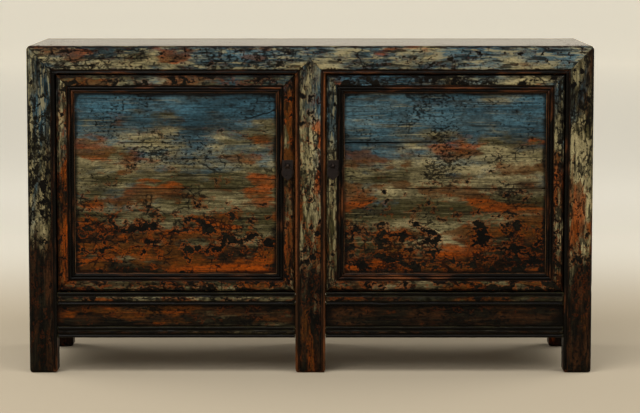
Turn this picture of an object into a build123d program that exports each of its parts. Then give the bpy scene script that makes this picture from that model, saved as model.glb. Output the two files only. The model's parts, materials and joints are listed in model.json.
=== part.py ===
"""Low two-door kang cabinet of mitred post-and-rail construction.

Six posts stand on the floor and carry a mitred top frame. Each front bay has a door between two
posts, a lower rail under it, and a recessed apron above the bottom rail. The doors turn on round
wooden pins in the rails, and each has an iron pendant pull that hangs from a strap staple.

Units are millimetres. +X is to the viewer's right, +Z is up and the doors face -Y. The origin is
on the floor, at the centre of the overall box.
"""
from build123d import *
from itertools import accumulate
import os

# --- overall size -------------------------------------------------------------------------------
WIDTH = 1460.0              # over the outer faces of the corner posts
DEPTH = 460.0               # over the front and rear faces of the posts
HEIGHT = 850.0              # floor to the top of the frame

# --- posts --------------------------------------------------------------------------------------
POST_WIDTH = 73.0           # corner post, along the front
POST_DEPTH = 56.0           # every post, front to back
CENTRE_POST_WIDTH = 78.0
CORNER_ROUND = 10.0         # worn outer arrises of the case
FOOT_ROUND = 8.0            # worn lower ends of the legs
SMALL_ROUND = 2.0           # eased arrises of plain rails
POINT_DEPTH = 15.0          # thickness of the centre post's pointed shoulder
CENTRE_TENON_WIDTH = 40.0   # tenon of a centre post in the top rail
CENTRE_TENON_RISE = 18.0
CORNER_TENON = 22.0         # square tenon that locks each three-way mitre
CORNER_TENON_INSET = 24.0   # from the outer faces of the post to the tenon
TENON_COVER = 14.0          # wood left above a tenon that rises into the top frame

# --- top ----------------------------------------------------------------------------------------
TOP_RAIL_HEIGHT = 73.0      # front and rear members of the top frame
SIDE_TOP_RAIL_HEIGHT = 56.0
TOP_FRAME_WIDTH = 56.0      # members of the top frame, seen from above
TOP_PANEL_THICKNESS = 16.0
TOP_TONGUE_DROP = 6.0       # from the top surface down to the panel's tongue
TOP_TONGUE_THICKNESS = 7.0
TOP_PANEL_PLAY = 0.3        # between the panel and its frame at the surface
STRETCHER_HEIGHT = 30.0     # members under the top panel
CENTRE_STRETCHER_WIDTH = 40.0
TOP_BATTEN_WIDTH = 34.0

# --- lower frame --------------------------------------------------------------------------------
LOWER_RAIL_TOP = 211.5      # floor to the top of the rail under the doors
LOWER_RAIL_HEIGHT = 35.0
BOTTOM_RAIL_BOTTOM = 91.5   # clear height under the case
BOTTOM_RAIL_HEIGHT = 30.0
RAIL_DEPTH = 34.0           # every rail, from its face inwards
FLOOR_THICKNESS = 12.0
FLOOR_LEDGE = 10.0          # how far the floor boards lie on the rails
BEARER_WIDTH = 34.0
BEARER_HEIGHT = 35.0

# --- beads, panels and joints -------------------------------------------------------------------
BEAD_WIDTH = 8.0            # bead along each arris that frames a door or an apron
QUIRK_WIDTH = 2.4           # sunk line beside each bead
QUIRK_DEPTH = 2.2
PANEL_THICKNESS = 9.0
PANEL_INSET = 8.0           # face of the frame to the face of a fixed panel
PANEL_TONGUE = 6.0          # how far a panel enters its frame
PANEL_PLAY = 0.2            # each side of a panel in its groove
GROOVE_PLAY = 1.0           # beyond the edge of a panel, so that it can move
BOARD_JOINT = 0.8           # half width and depth of the line between two boards
FLOOR_PLAY = 0.5            # round the floor boards
TENON_THICKNESS = 12.0
TENON_LENGTH = 30.0         # tenons along the front and rear
SIDE_TENON_LENGTH = 22.0    # tenons of the sides, bearer and stretchers
TENON_SHOULDER = 9.0        # above and below each tenon
TENON_INSET = 11.0          # face of the rail to its tenon
JOINT_CLEARANCE = 0.1       # round each tenon
JOINT_END_CLEARANCE = 1.0   # beyond the end of each tenon

# --- doors --------------------------------------------------------------------------------------
DOOR_GAP = 3.0              # all round each door
DOOR_SETBACK = 1.0          # face of the posts to the face of the doors
DOOR_THICKNESS = 26.0
DOOR_MEMBER_WIDTH = 47.0
DOOR_FLAT = 27.5            # flat part of each member's face
DOOR_ARRIS = 3.0
DOOR_QUIRK = 1.8            # flat face to the outer bead
DOOR_BEAD_SPACING = 0.9     # outer bead to the inner bead
DOOR_BEAD_RADIUS = 3.4
OUTER_BEAD_DEPTH = 4.4      # face to the foot of the outer bead
INNER_BEAD_DEPTH = 6.6      # face to the foot of the inner bead
DOOR_PANEL_INSET = 9.0      # face of the frame to the face of the door panel
DOOR_PANEL_THICKNESS = 8.0
DOOR_TENON_WIDTH = 20.0
DOOR_TENON_INSET = 11.0     # outer edge of the member to its tenon
DOOR_TENON_COVER = 9.0      # wood left beyond the end of the door tenons
DOOR_BOARD_WIDTHS = (139.5, 85.0, 120.0)    # boards from the bottom; the top one fills the rest
DOOR_BATTEN_WIDTH = 36.0
DOOR_BATTEN_SPACING = 250.0
DOOR_BATTEN_LAP = 10.0      # how far each batten is let into the door rails
DOOR_MITRE_DEPTH = 9.0      # mitred front layer; the stiles run through behind it
PIVOT_RADIUS = 5.0
PIVOT_EDGE = 27.0           # outer edge of the door to the pivot
PIVOT_DEPTH = 14.0          # face of the door to the pivot
PIVOT_ENGAGEMENT = 11.0     # pivot pin inside its socket
PIVOT_CLEARANCE = 0.08      # radial, a running fit
PIVOT_END_CLEARANCE = 0.3
STOP_WIDTH = 10.0           # strip that each door closes against
STOP_THICKNESS = 12.0
STOP_CLEARANCE = 0.3

# --- pulls --------------------------------------------------------------------------------------
PULL_EDGE = 16.5            # free edge of the door to the centre of the pull
PULL_HEIGHT = 541.0         # floor to the staple
PLATE_SIZE = 29.0
PLATE_THICKNESS = 1.5
STRAP_WIDTH = 5.0
STRAP_THICKNESS = 1.4
STAPLE_RING_RADIUS = 4.6    # outside of the staple's ring
STAPLE_STANDOFF = 0.3       # plate to the ring
STAPLE_HOLE_CLEARANCE = 0.1
CLENCH_LENGTH = 16.0        # each leg of the staple, bent flat behind the door
PENDANT_RADIUS = 16.0
PENDANT_THICKNESS = 2.0
PENDANT_DROP = 17.0         # staple to the centre of the disc
PENDANT_LUG_RADIUS = 5.5
PENDANT_LUG_DROP = 5.0
PENDANT_TIP_RADIUS = 1.5
PENDANT_TIP_DROP = 36.5
PENDANT_PLAY = 0.4          # round the strap in the pendant's slot
PENDANT_EDGE = 0.5

# --- places worked out from the sizes -----------------------------------------------------------
PULL_PROJECTION = PLATE_THICKNESS + STAPLE_STANDOFF + 2 * STAPLE_RING_RADIUS - DOOR_SETBACK
LEFT = -WIDTH / 2
RIGHT = WIDTH / 2
FRONT = (PULL_PROJECTION - DEPTH) / 2
REAR = FRONT + DEPTH

BAY_LEFT = LEFT + POST_WIDTH
BAY_RIGHT = -CENTRE_POST_WIDTH / 2
BAY_WIDTH = BAY_RIGHT - BAY_LEFT
SIDE_FRONT = FRONT + POST_DEPTH
SIDE_REAR = REAR - POST_DEPTH
TOP_FRAME_LEFT = LEFT + TOP_FRAME_WIDTH
TOP_FRAME_FRONT = FRONT + TOP_FRAME_WIDTH
TOP_FRAME_REAR = REAR - TOP_FRAME_WIDTH
TOP_RAIL_BOTTOM = HEIGHT - TOP_RAIL_HEIGHT
SIDE_TOP_RAIL_BOTTOM = HEIGHT - SIDE_TOP_RAIL_HEIGHT
LOWER_RAIL = (LOWER_RAIL_TOP - LOWER_RAIL_HEIGHT, LOWER_RAIL_TOP)
BOTTOM_RAIL = (BOTTOM_RAIL_BOTTOM, BOTTOM_RAIL_BOTTOM + BOTTOM_RAIL_HEIGHT)
FLOOR_BOTTOM = LOWER_RAIL_TOP - FLOOR_THICKNESS
BEARER = (FLOOR_BOTTOM - BEARER_HEIGHT, FLOOR_BOTTOM)
TOP_PANEL_BOTTOM = HEIGHT - TOP_PANEL_THICKNESS
STRETCHER = (TOP_PANEL_BOTTOM - STRETCHER_HEIGHT, TOP_PANEL_BOTTOM)

DOOR_LEFT = BAY_LEFT + DOOR_GAP
DOOR_RIGHT = BAY_RIGHT - DOOR_GAP
DOOR_BOTTOM = LOWER_RAIL_TOP + DOOR_GAP
DOOR_TOP = TOP_RAIL_BOTTOM - DOOR_GAP
DOOR_WIDTH = DOOR_RIGHT - DOOR_LEFT
DOOR_HEIGHT = DOOR_TOP - DOOR_BOTTOM
DOOR_FACE = FRONT + DOOR_SETBACK
DOOR_BACK = DOOR_FACE + DOOR_THICKNESS
DOOR_PANEL_FACE = DOOR_FACE + DOOR_PANEL_INSET
DOOR_PANEL_BACK = DOOR_PANEL_FACE + DOOR_PANEL_THICKNESS
PIVOT_X = DOOR_LEFT + PIVOT_EDGE
PIVOT_Y = DOOR_FACE + PIVOT_DEPTH

PULL_X = DOOR_RIGHT - PULL_EDGE
RING_Y = DOOR_FACE - PLATE_THICKNESS - STAPLE_STANDOFF - STAPLE_RING_RADIUS
STRAP_RADIUS = STAPLE_RING_RADIUS - STRAP_THICKNESS / 2

CORNER = (Align.MIN, Align.MIN, Align.MIN)


# --- helpers for the piece being built ----------------------------------------------------------
def add_box(low, high, mode=Mode.ADD):
    """Add the box between two opposite corners to the piece."""
    size = [far - near for near, far in zip(low, high)]
    with Locations(low):
        Box(*size, align=CORNER, mode=mode)


def cut_box(box, play=(0.0, 0.0, 0.0)):
    """Cut a box out of the piece, grown by the play each way."""
    low = tuple(near - gap for near, gap in zip(box[0], play))
    high = tuple(far + gap for far, gap in zip(box[1], play))
    add_box(low, high, mode=Mode.SUBTRACT)


def cut_groove(panel, thin_axis):
    """Cut the groove that a panel's tongue lies in."""
    play = [GROOVE_PLAY] * 3
    play[thin_axis] = PANEL_PLAY
    cut_box(panel, play)


def cut_mortise(tenon, long_axis):
    """Cut the mortise that a tenon fills."""
    play = [JOINT_CLEARANCE] * 3
    play[long_axis] = JOINT_END_CLEARANCE
    cut_box(tenon, play)


def keep_beyond(corner, direction):
    """Mitre the piece: keep what lies on the pointed side of a plane through the corner."""
    split(bisect_by=Plane(origin=corner, z_dir=direction), keep=Keep.TOP)


def add_bar(plane, width, depth, length):
    """Add a straight bar with its face on the plane's X axis."""
    with BuildSketch(plane) as section:
        Rectangle(width, depth, align=(Align.MIN, Align.MIN))
    extrude(section.sketch, amount=length)


def round_case_arrises():
    """Round the arrises of the piece that are arrises of the whole case."""
    add(case_outline.part, mode=Mode.INTERSECT)


def cut_beads(plane, width, length, edges):
    """Work a quirked bead along the low or high edge of a bar's face."""
    sunk_width = BEAD_WIDTH + QUIRK_WIDTH
    sunk_starts = {"low": 0.0, "high": width - sunk_width}
    bead_starts = {"low": 0.0, "high": width - BEAD_WIDTH}
    with BuildSketch(plane) as waste:
        for edge in edges:
            with Locations((sunk_starts[edge], 0)):
                Rectangle(sunk_width, QUIRK_DEPTH, align=(Align.MIN, Align.MIN))
            foot = (bead_starts[edge], QUIRK_DEPTH)
            crest = (bead_starts[edge] + BEAD_WIDTH / 2, 0)
            far_foot = (bead_starts[edge] + BEAD_WIDTH, QUIRK_DEPTH)
            with BuildLine():
                ThreePointArc(foot, crest, far_foot)
                Line(far_foot, foot)
            make_face(mode=Mode.SUBTRACT)
    extrude(waste.sketch, amount=length, mode=Mode.SUBTRACT)


def round_foot():
    """Round the arrises of a leg's lower end."""
    fillet(faces().sort_by(Axis.Z)[0].edges(), radius=FOOT_ROUND)


def shoulder_triangle():
    """Face of the centre post's pointed shoulder, in the plane of the front."""
    half = CENTRE_POST_WIDTH / 2
    plane = Plane(origin=(0, FRONT, TOP_RAIL_BOTTOM), x_dir=(1, 0, 0), z_dir=(0, -1, 0))
    with BuildSketch(plane) as triangle:
        Polygon((-half, 0), (half, 0), (0, half), align=None)
    return triangle.sketch


# --- planes that sections are drawn on ----------------------------------------------------------
def rail_section(x_right, y_face, z_bottom):
    """Section of a bar that runs to the left: local X is up and local Y is rearwards."""
    return Plane(origin=(x_right, y_face, z_bottom), x_dir=(0, 0, 1), z_dir=(-1, 0, 0))


def side_rail_section(y_front, z_bottom):
    """Section of a left-hand bar that runs rearwards: local X is up and local Y is inwards."""
    return Plane(origin=(LEFT, y_front, z_bottom), x_dir=(0, 0, 1), z_dir=(0, 1, 0))


RING_PLANE = Plane(origin=(PULL_X, RING_Y, PULL_HEIGHT), x_dir=(1, 0, 0), z_dir=(0, -1, 0))


# --- boxes that two or more pieces share --------------------------------------------------------
def mirrored(box):
    """The right-hand twin of a left-hand box."""
    low, high = box
    return (-high[0], low[1], low[2]), (-low[0], high[1], high[2])


def along_front_tenon(x, sign, y_near, level):
    """Tenon at one end of a rail that runs along X."""
    ends = sorted((x, x + sign * TENON_LENGTH))
    low = (ends[0], y_near, level[0] + TENON_SHOULDER)
    high = (ends[1], y_near + TENON_THICKNESS, level[1] - TENON_SHOULDER)
    return low, high


def front_to_back_tenon(x_near, y, sign, level):
    """Tenon at one end of a member that runs along Y."""
    ends = sorted((y, y + sign * SIDE_TENON_LENGTH))
    low = (x_near, ends[0], level[0] + TENON_SHOULDER)
    high = (x_near + TENON_THICKNESS, ends[1], level[1] - TENON_SHOULDER)
    return low, high


def front_to_back_tenons(x_middle, y_front, y_rear, level):
    """Tenons at both ends of a member that runs along Y."""
    x_near = x_middle - TENON_THICKNESS / 2
    front_tenon = front_to_back_tenon(x_near, y_front, -1, level)
    rear_tenon = front_to_back_tenon(x_near, y_rear, 1, level)
    return front_tenon, rear_tenon


def panel_along_front(face_y, bottom, top):
    """Left-hand panel in the plane of the front or rear, tongues included."""
    low = (BAY_LEFT - PANEL_TONGUE, face_y, bottom - PANEL_TONGUE)
    high = (BAY_RIGHT + PANEL_TONGUE, face_y + PANEL_THICKNESS, top + PANEL_TONGUE)
    return low, high


def panel_at_side(bottom, top):
    """Panel in the plane of the left side, tongues included."""
    low = (LEFT + PANEL_INSET, SIDE_FRONT - PANEL_TONGUE, bottom - PANEL_TONGUE)
    high = (low[0] + PANEL_THICKNESS, SIDE_REAR + PANEL_TONGUE, top + PANEL_TONGUE)
    return low, high


def corner_tenon(near_y):
    """Tenon on the top of a left-hand corner post, up into the mitres of the top frame."""
    low = (LEFT + CORNER_TENON_INSET, near_y, HEIGHT - POST_WIDTH)
    high = (low[0] + CORNER_TENON, near_y + CORNER_TENON, HEIGHT - TENON_COVER)
    return low, high


def centre_post_tenon(near_y):
    """Tenon on the top of a centre post, up into the top rail."""
    low = (-CENTRE_TENON_WIDTH / 2, near_y, TOP_RAIL_BOTTOM)
    high = (CENTRE_TENON_WIDTH / 2, near_y + TENON_THICKNESS, TOP_RAIL_BOTTOM + CENTRE_TENON_RISE)
    return low, high


def door_tenon(outer_x, sign, bottom):
    """Tenon of a door rail, in the stile whose outer edge is at outer_x."""
    ends = sorted((outer_x + sign * DOOR_TENON_COVER, outer_x + sign * DOOR_MEMBER_WIDTH))
    low = (ends[0], DOOR_PANEL_FACE, bottom)
    high = (ends[1], DOOR_PANEL_BACK, bottom + DOOR_TENON_WIDTH)
    return low, high


def door_batten(middle_x):
    """Batten behind the boards of the left door, with its ends let into the door rails."""
    low = (
        middle_x - DOOR_BATTEN_WIDTH / 2,
        DOOR_PANEL_BACK,
        DOOR_BOTTOM + DOOR_MEMBER_WIDTH - DOOR_BATTEN_LAP,
    )
    high = (
        middle_x + DOOR_BATTEN_WIDTH / 2,
        DOOR_BACK,
        DOOR_TOP - DOOR_MEMBER_WIDTH + DOOR_BATTEN_LAP,
    )
    return low, high


FRONT_TENON_Y = FRONT + TENON_INSET
REAR_TENON_Y = REAR - TENON_INSET - TENON_THICKNESS
SIDE_TENON_X = LEFT + TENON_INSET
SIDE_TENON_MIDDLE = SIDE_TENON_X + TENON_THICKNESS / 2

FRONT_APRON = panel_along_front(FRONT + PANEL_INSET, BOTTOM_RAIL[1], LOWER_RAIL[0])
REAR_PANEL = panel_along_front(
    REAR - PANEL_INSET - PANEL_THICKNESS, LOWER_RAIL[1], TOP_RAIL_BOTTOM
)
SIDE_PANEL = panel_at_side(LOWER_RAIL[1], SIDE_TOP_RAIL_BOTTOM)
SIDE_APRON = panel_at_side(BOTTOM_RAIL[1], LOWER_RAIL[0])
FLOOR = (
    (LEFT + RAIL_DEPTH - FLOOR_LEDGE, FRONT + RAIL_DEPTH - FLOOR_LEDGE, FLOOR_BOTTOM),
    (-FLOOR_PLAY / 2, REAR - RAIL_DEPTH + FLOOR_LEDGE, LOWER_RAIL_TOP),
)
TOP_SURFACE = (
    (TOP_FRAME_LEFT + TOP_PANEL_PLAY, TOP_FRAME_FRONT + TOP_PANEL_PLAY, TOP_PANEL_BOTTOM),
    (-TOP_FRAME_LEFT - TOP_PANEL_PLAY, TOP_FRAME_REAR - TOP_PANEL_PLAY, HEIGHT),
)
TOP_TONGUE = (
    (
        TOP_FRAME_LEFT - PANEL_TONGUE,
        TOP_FRAME_FRONT - PANEL_TONGUE,
        HEIGHT - TOP_TONGUE_DROP - TOP_TONGUE_THICKNESS,
    ),
    (-TOP_FRAME_LEFT + PANEL_TONGUE, TOP_FRAME_REAR + PANEL_TONGUE, HEIGHT - TOP_TONGUE_DROP),
)
DOOR_PANEL = (
    (
        DOOR_LEFT + DOOR_MEMBER_WIDTH - PANEL_TONGUE,
        DOOR_PANEL_FACE,
        DOOR_BOTTOM + DOOR_MEMBER_WIDTH - PANEL_TONGUE,
    ),
    (
        DOOR_RIGHT - DOOR_MEMBER_WIDTH + PANEL_TONGUE,
        DOOR_PANEL_BACK,
        DOOR_TOP - DOOR_MEMBER_WIDTH + PANEL_TONGUE,
    ),
)

FRONT_CORNER_TENON = corner_tenon(FRONT + CORNER_TENON_INSET)
REAR_CORNER_TENON = corner_tenon(REAR - CORNER_TENON_INSET - CORNER_TENON)
FRONT_CENTRE_TENON = centre_post_tenon(FRONT + POINT_DEPTH + JOINT_END_CLEARANCE)
REAR_CENTRE_TENON = centre_post_tenon(REAR_TENON_Y)
BEARER_TENONS = front_to_back_tenons(0, SIDE_FRONT, SIDE_REAR, BEARER)
BATTEN_X = TOP_FRAME_LEFT / 2
STRETCHER_TENONS = {
    x: front_to_back_tenons(x, TOP_FRAME_FRONT, TOP_FRAME_REAR, STRETCHER)
    for x in (BATTEN_X, 0, -BATTEN_X)
}
DOOR_TENON_BOTTOMS = {
    "top": DOOR_TOP - DOOR_TENON_INSET - DOOR_TENON_WIDTH,
    "bottom": DOOR_BOTTOM + DOOR_TENON_INSET,
}
DOOR_BATTENS = {
    "outer": door_batten((DOOR_LEFT + DOOR_RIGHT - DOOR_BATTEN_SPACING) / 2),
    "inner": door_batten((DOOR_LEFT + DOOR_RIGHT + DOOR_BATTEN_SPACING) / 2),
}
STAPLE_SHANK = (
    (PULL_X - STRAP_WIDTH / 2, RING_Y + STRAP_RADIUS, PULL_HEIGHT - STRAP_THICKNESS),
    (PULL_X + STRAP_WIDTH / 2, DOOR_BACK + STRAP_THICKNESS, PULL_HEIGHT + STRAP_THICKNESS),
)
STAPLE_LEGS = (
    (STAPLE_SHANK[0][0], DOOR_BACK, PULL_HEIGHT - CLENCH_LENGTH),
    (STAPLE_SHANK[1][0], STAPLE_SHANK[1][1], PULL_HEIGHT + CLENCH_LENGTH),
)


def cut_pivot_sockets(signs, z_low):
    """Cut the sockets that the doors' pivot pins turn in, from a height upwards."""
    depth = PIVOT_ENGAGEMENT + PIVOT_END_CLEARANCE
    for sign in signs:
        with Locations((sign * PIVOT_X, PIVOT_Y, z_low)):
            Cylinder(
                PIVOT_RADIUS + PIVOT_CLEARANCE,
                depth,
                align=(Align.CENTER, Align.CENTER, Align.MIN),
                mode=Mode.SUBTRACT,
            )


# --- writing ------------------------------------------------------------------------------------
os.makedirs("parts", exist_ok=True)


def write(piece, name):
    """Label a finished piece and write its STEP file."""
    piece.part.label = name
    export_step(piece.part, f"parts/{name}.step")


def write_pair(piece, left_name, right_name):
    """Write a left-hand piece and its mirrored right-hand twin."""
    write(piece, left_name)
    with BuildPart() as twin:
        mirror(piece.part, about=Plane.YZ)
    write(twin, right_name)


# --- outline of the case, a tool for rounding and not a piece --------------------------------------
with BuildPart() as case_outline:
    add_box((LEFT, FRONT, 0), (RIGHT, REAR, HEIGHT))
    upright_edges = edges().filter_by(Axis.Z)
    top_edges = edges().group_by(Axis.Z)[-1]
    fillet(upright_edges + top_edges, radius=CORNER_ROUND)

# --- posts --------------------------------------------------------------------------------------
with BuildPart() as front_left_post:
    post_plane = Plane(origin=(LEFT, FRONT, 0))
    add_bar(post_plane, POST_WIDTH, POST_DEPTH, HEIGHT)
    round_case_arrises()
    round_foot()
    cut_beads(post_plane, POST_WIDTH, HEIGHT, ["high"])
    keep_beyond((LEFT, FRONT, HEIGHT), (-1, 0, -1))
    keep_beyond((LEFT, FRONT, HEIGHT), (0, -1, -1))
    add_box(*FRONT_CORNER_TENON)
    for level in (LOWER_RAIL, BOTTOM_RAIL):
        cut_mortise(along_front_tenon(BAY_LEFT, -1, FRONT_TENON_Y, level), 0)
        cut_mortise(front_to_back_tenon(SIDE_TENON_X, SIDE_FRONT, -1, level), 1)
    cut_groove(FRONT_APRON, 1)
    cut_groove(SIDE_PANEL, 0)
    cut_groove(SIDE_APRON, 0)
write_pair(front_left_post, "front_left_post", "front_right_post")

with BuildPart() as rear_left_post:
    post_plane = Plane(origin=(LEFT, SIDE_REAR, 0))
    add_bar(post_plane, POST_WIDTH, POST_DEPTH, HEIGHT)
    round_case_arrises()
    round_foot()
    keep_beyond((LEFT, REAR, HEIGHT), (-1, 0, -1))
    keep_beyond((LEFT, REAR, HEIGHT), (0, 1, -1))
    add_box(*REAR_CORNER_TENON)
    cut_mortise(along_front_tenon(BAY_LEFT, -1, REAR_TENON_Y, LOWER_RAIL), 0)
    for level in (LOWER_RAIL, BOTTOM_RAIL):
        cut_mortise(front_to_back_tenon(SIDE_TENON_X, SIDE_REAR, 1, level), 1)
    cut_groove(REAR_PANEL, 1)
    cut_groove(SIDE_PANEL, 0)
    cut_groove(SIDE_APRON, 0)
write_pair(rear_left_post, "rear_left_post", "rear_right_post")

with BuildPart() as front_centre_post:
    post_plane = Plane(origin=(BAY_RIGHT, FRONT, 0))
    add_bar(post_plane, CENTRE_POST_WIDTH, POST_DEPTH, TOP_RAIL_BOTTOM)
    round_foot()
    extrude(shoulder_triangle(), amount=-POINT_DEPTH)
    cut_beads(post_plane, CENTRE_POST_WIDTH, HEIGHT, ["low", "high"])
    add_box(*FRONT_CENTRE_TENON)
    for level in (LOWER_RAIL, BOTTOM_RAIL):
        tenon = along_front_tenon(BAY_RIGHT, 1, FRONT_TENON_Y, level)
        cut_mortise(tenon, 0)
        cut_mortise(mirrored(tenon), 0)
    cut_mortise(BEARER_TENONS[0], 1)
    cut_groove(FRONT_APRON, 1)
    cut_groove(mirrored(FRONT_APRON), 1)
write(front_centre_post, "front_centre_post")

with BuildPart() as rear_centre_post:
    post_plane = Plane(origin=(BAY_RIGHT, SIDE_REAR, 0))
    add_bar(post_plane, CENTRE_POST_WIDTH, POST_DEPTH, TOP_RAIL_BOTTOM)
    round_foot()
    add_box(*REAR_CENTRE_TENON)
    tenon = along_front_tenon(BAY_RIGHT, 1, REAR_TENON_Y, LOWER_RAIL)
    cut_mortise(tenon, 0)
    cut_mortise(mirrored(tenon), 0)
    cut_mortise(BEARER_TENONS[1], 1)
    cut_groove(REAR_PANEL, 1)
    cut_groove(mirrored(REAR_PANEL), 1)
write(rear_centre_post, "rear_centre_post")

# --- top frame and panel ------------------------------------------------------------------------
with BuildPart() as top_front_rail:
    rail_plane = rail_section(RIGHT, FRONT, TOP_RAIL_BOTTOM)
    add_bar(rail_plane, TOP_RAIL_HEIGHT, TOP_FRAME_WIDTH, WIDTH)
    round_case_arrises()
    cut_beads(rail_plane, TOP_RAIL_HEIGHT, WIDTH, ["low"])
    for corner_x, inward in ((LEFT, 1), (RIGHT, -1)):
        keep_beyond((corner_x, FRONT, HEIGHT), (inward, 0, 1))
        keep_beyond((corner_x, FRONT, HEIGHT), (inward, -1, 0))
    extrude(shoulder_triangle(), amount=-POINT_DEPTH, mode=Mode.SUBTRACT)
    cut_mortise(FRONT_CENTRE_TENON, 2)
    cut_mortise(FRONT_CORNER_TENON, 2)
    cut_mortise(mirrored(FRONT_CORNER_TENON), 2)
    for tenons in STRETCHER_TENONS.values():
        cut_mortise(tenons[0], 1)
    cut_groove(TOP_TONGUE, 2)
    cut_pivot_sockets((1, -1), TOP_RAIL_BOTTOM)
write(top_front_rail, "top_front_rail")

with BuildPart() as top_rear_rail:
    rail_plane = rail_section(RIGHT, TOP_FRAME_REAR, TOP_RAIL_BOTTOM)
    add_bar(rail_plane, TOP_RAIL_HEIGHT, TOP_FRAME_WIDTH, WIDTH)
    round_case_arrises()
    for corner_x, inward in ((LEFT, 1), (RIGHT, -1)):
        keep_beyond((corner_x, REAR, HEIGHT), (inward, 0, 1))
        keep_beyond((corner_x, REAR, HEIGHT), (inward, 1, 0))
    cut_mortise(REAR_CENTRE_TENON, 2)
    cut_mortise(REAR_CORNER_TENON, 2)
    cut_mortise(mirrored(REAR_CORNER_TENON), 2)
    for tenons in STRETCHER_TENONS.values():
        cut_mortise(tenons[1], 1)
    cut_groove(TOP_TONGUE, 2)
    cut_groove(REAR_PANEL, 1)
    cut_groove(mirrored(REAR_PANEL), 1)
write(top_rear_rail, "top_rear_rail")

with BuildPart() as top_left_rail:
    rail_plane = side_rail_section(FRONT, SIDE_TOP_RAIL_BOTTOM)
    add_bar(rail_plane, SIDE_TOP_RAIL_HEIGHT, TOP_FRAME_WIDTH, DEPTH)
    round_case_arrises()
    for corner_y, inward in ((FRONT, 1), (REAR, -1)):
        keep_beyond((LEFT, corner_y, HEIGHT), (-1, inward, 0))
        keep_beyond((LEFT, corner_y, HEIGHT), (0, inward, 1))
    cut_mortise(FRONT_CORNER_TENON, 2)
    cut_mortise(REAR_CORNER_TENON, 2)
    cut_groove(TOP_TONGUE, 2)
    cut_groove(SIDE_PANEL, 0)
write_pair(top_left_rail, "top_left_rail", "top_right_rail")

with BuildPart() as top_panel:
    add_box(*TOP_SURFACE)
    add_box(*TOP_TONGUE)
write(top_panel, "top_panel")


def front_to_back_bar(middle_x, width, y_front, y_rear, level, tenons):
    """Plain bar from front to rear with a tenon at each end."""
    with BuildPart() as bar:
        add_box((middle_x - width / 2, y_front, level[0]), (middle_x + width / 2, y_rear, level[1]))
        for tenon in tenons:
            add_box(*tenon)
    return bar


top_centre_stretcher = front_to_back_bar(
    0, CENTRE_STRETCHER_WIDTH, TOP_FRAME_FRONT, TOP_FRAME_REAR, STRETCHER, STRETCHER_TENONS[0]
)
write(top_centre_stretcher, "top_centre_stretcher")
top_batten = front_to_back_bar(
    BATTEN_X, TOP_BATTEN_WIDTH, TOP_FRAME_FRONT, TOP_FRAME_REAR, STRETCHER,
    STRETCHER_TENONS[BATTEN_X]
)
write_pair(top_batten, "top_left_batten", "top_right_batten")
floor_bearer = front_to_back_bar(
    0, BEARER_WIDTH, SIDE_FRONT, SIDE_REAR, BEARER, BEARER_TENONS
)
write(floor_bearer, "floor_bearer")

# --- front rails and aprons ---------------------------------------------------------------------
with BuildPart() as front_lower_rail:
    rail_plane = rail_section(BAY_RIGHT, FRONT, LOWER_RAIL[0])
    add_bar(rail_plane, LOWER_RAIL_HEIGHT, RAIL_DEPTH, BAY_WIDTH)
    cut_beads(rail_plane, LOWER_RAIL_HEIGHT, BAY_WIDTH, ["low", "high"])
    add_box(*along_front_tenon(BAY_LEFT, -1, FRONT_TENON_Y, LOWER_RAIL))
    add_box(*along_front_tenon(BAY_RIGHT, 1, FRONT_TENON_Y, LOWER_RAIL))
    cut_groove(FRONT_APRON, 1)
    cut_box(FLOOR, (FLOOR_PLAY, FLOOR_PLAY, 0))
    cut_pivot_sockets((1,), LOWER_RAIL_TOP - PIVOT_ENGAGEMENT - PIVOT_END_CLEARANCE)
write_pair(front_lower_rail, "front_left_lower_rail", "front_right_lower_rail")

with BuildPart() as front_bottom_rail:
    rail_plane = rail_section(BAY_RIGHT, FRONT, BOTTOM_RAIL[0])
    add_bar(rail_plane, BOTTOM_RAIL_HEIGHT, RAIL_DEPTH, BAY_WIDTH)
    cut_beads(rail_plane, BOTTOM_RAIL_HEIGHT, BAY_WIDTH, ["low", "high"])
    add_box(*along_front_tenon(BAY_LEFT, -1, FRONT_TENON_Y, BOTTOM_RAIL))
    add_box(*along_front_tenon(BAY_RIGHT, 1, FRONT_TENON_Y, BOTTOM_RAIL))
    cut_groove(FRONT_APRON, 1)
write_pair(front_bottom_rail, "front_left_bottom_rail", "front_right_bottom_rail")

with BuildPart() as front_apron:
    add_box(*FRONT_APRON)
write_pair(front_apron, "front_left_apron", "front_right_apron")

# --- rear rails and panels ----------------------------------------------------------------------
with BuildPart() as rear_lower_rail:
    add_box((BAY_LEFT, REAR - RAIL_DEPTH, LOWER_RAIL[0]), (BAY_RIGHT, REAR, LOWER_RAIL[1]))
    fillet(edges().filter_by(Axis.X).group_by(Axis.Y)[-1], radius=SMALL_ROUND)
    add_box(*along_front_tenon(BAY_LEFT, -1, REAR_TENON_Y, LOWER_RAIL))
    add_box(*along_front_tenon(BAY_RIGHT, 1, REAR_TENON_Y, LOWER_RAIL))
    cut_groove(REAR_PANEL, 1)
    cut_box(FLOOR, (FLOOR_PLAY, FLOOR_PLAY, 0))
write_pair(rear_lower_rail, "rear_left_lower_rail", "rear_right_lower_rail")

with BuildPart() as rear_panel:
    add_box(*REAR_PANEL)
write_pair(rear_panel, "rear_left_panel", "rear_right_panel")

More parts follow.
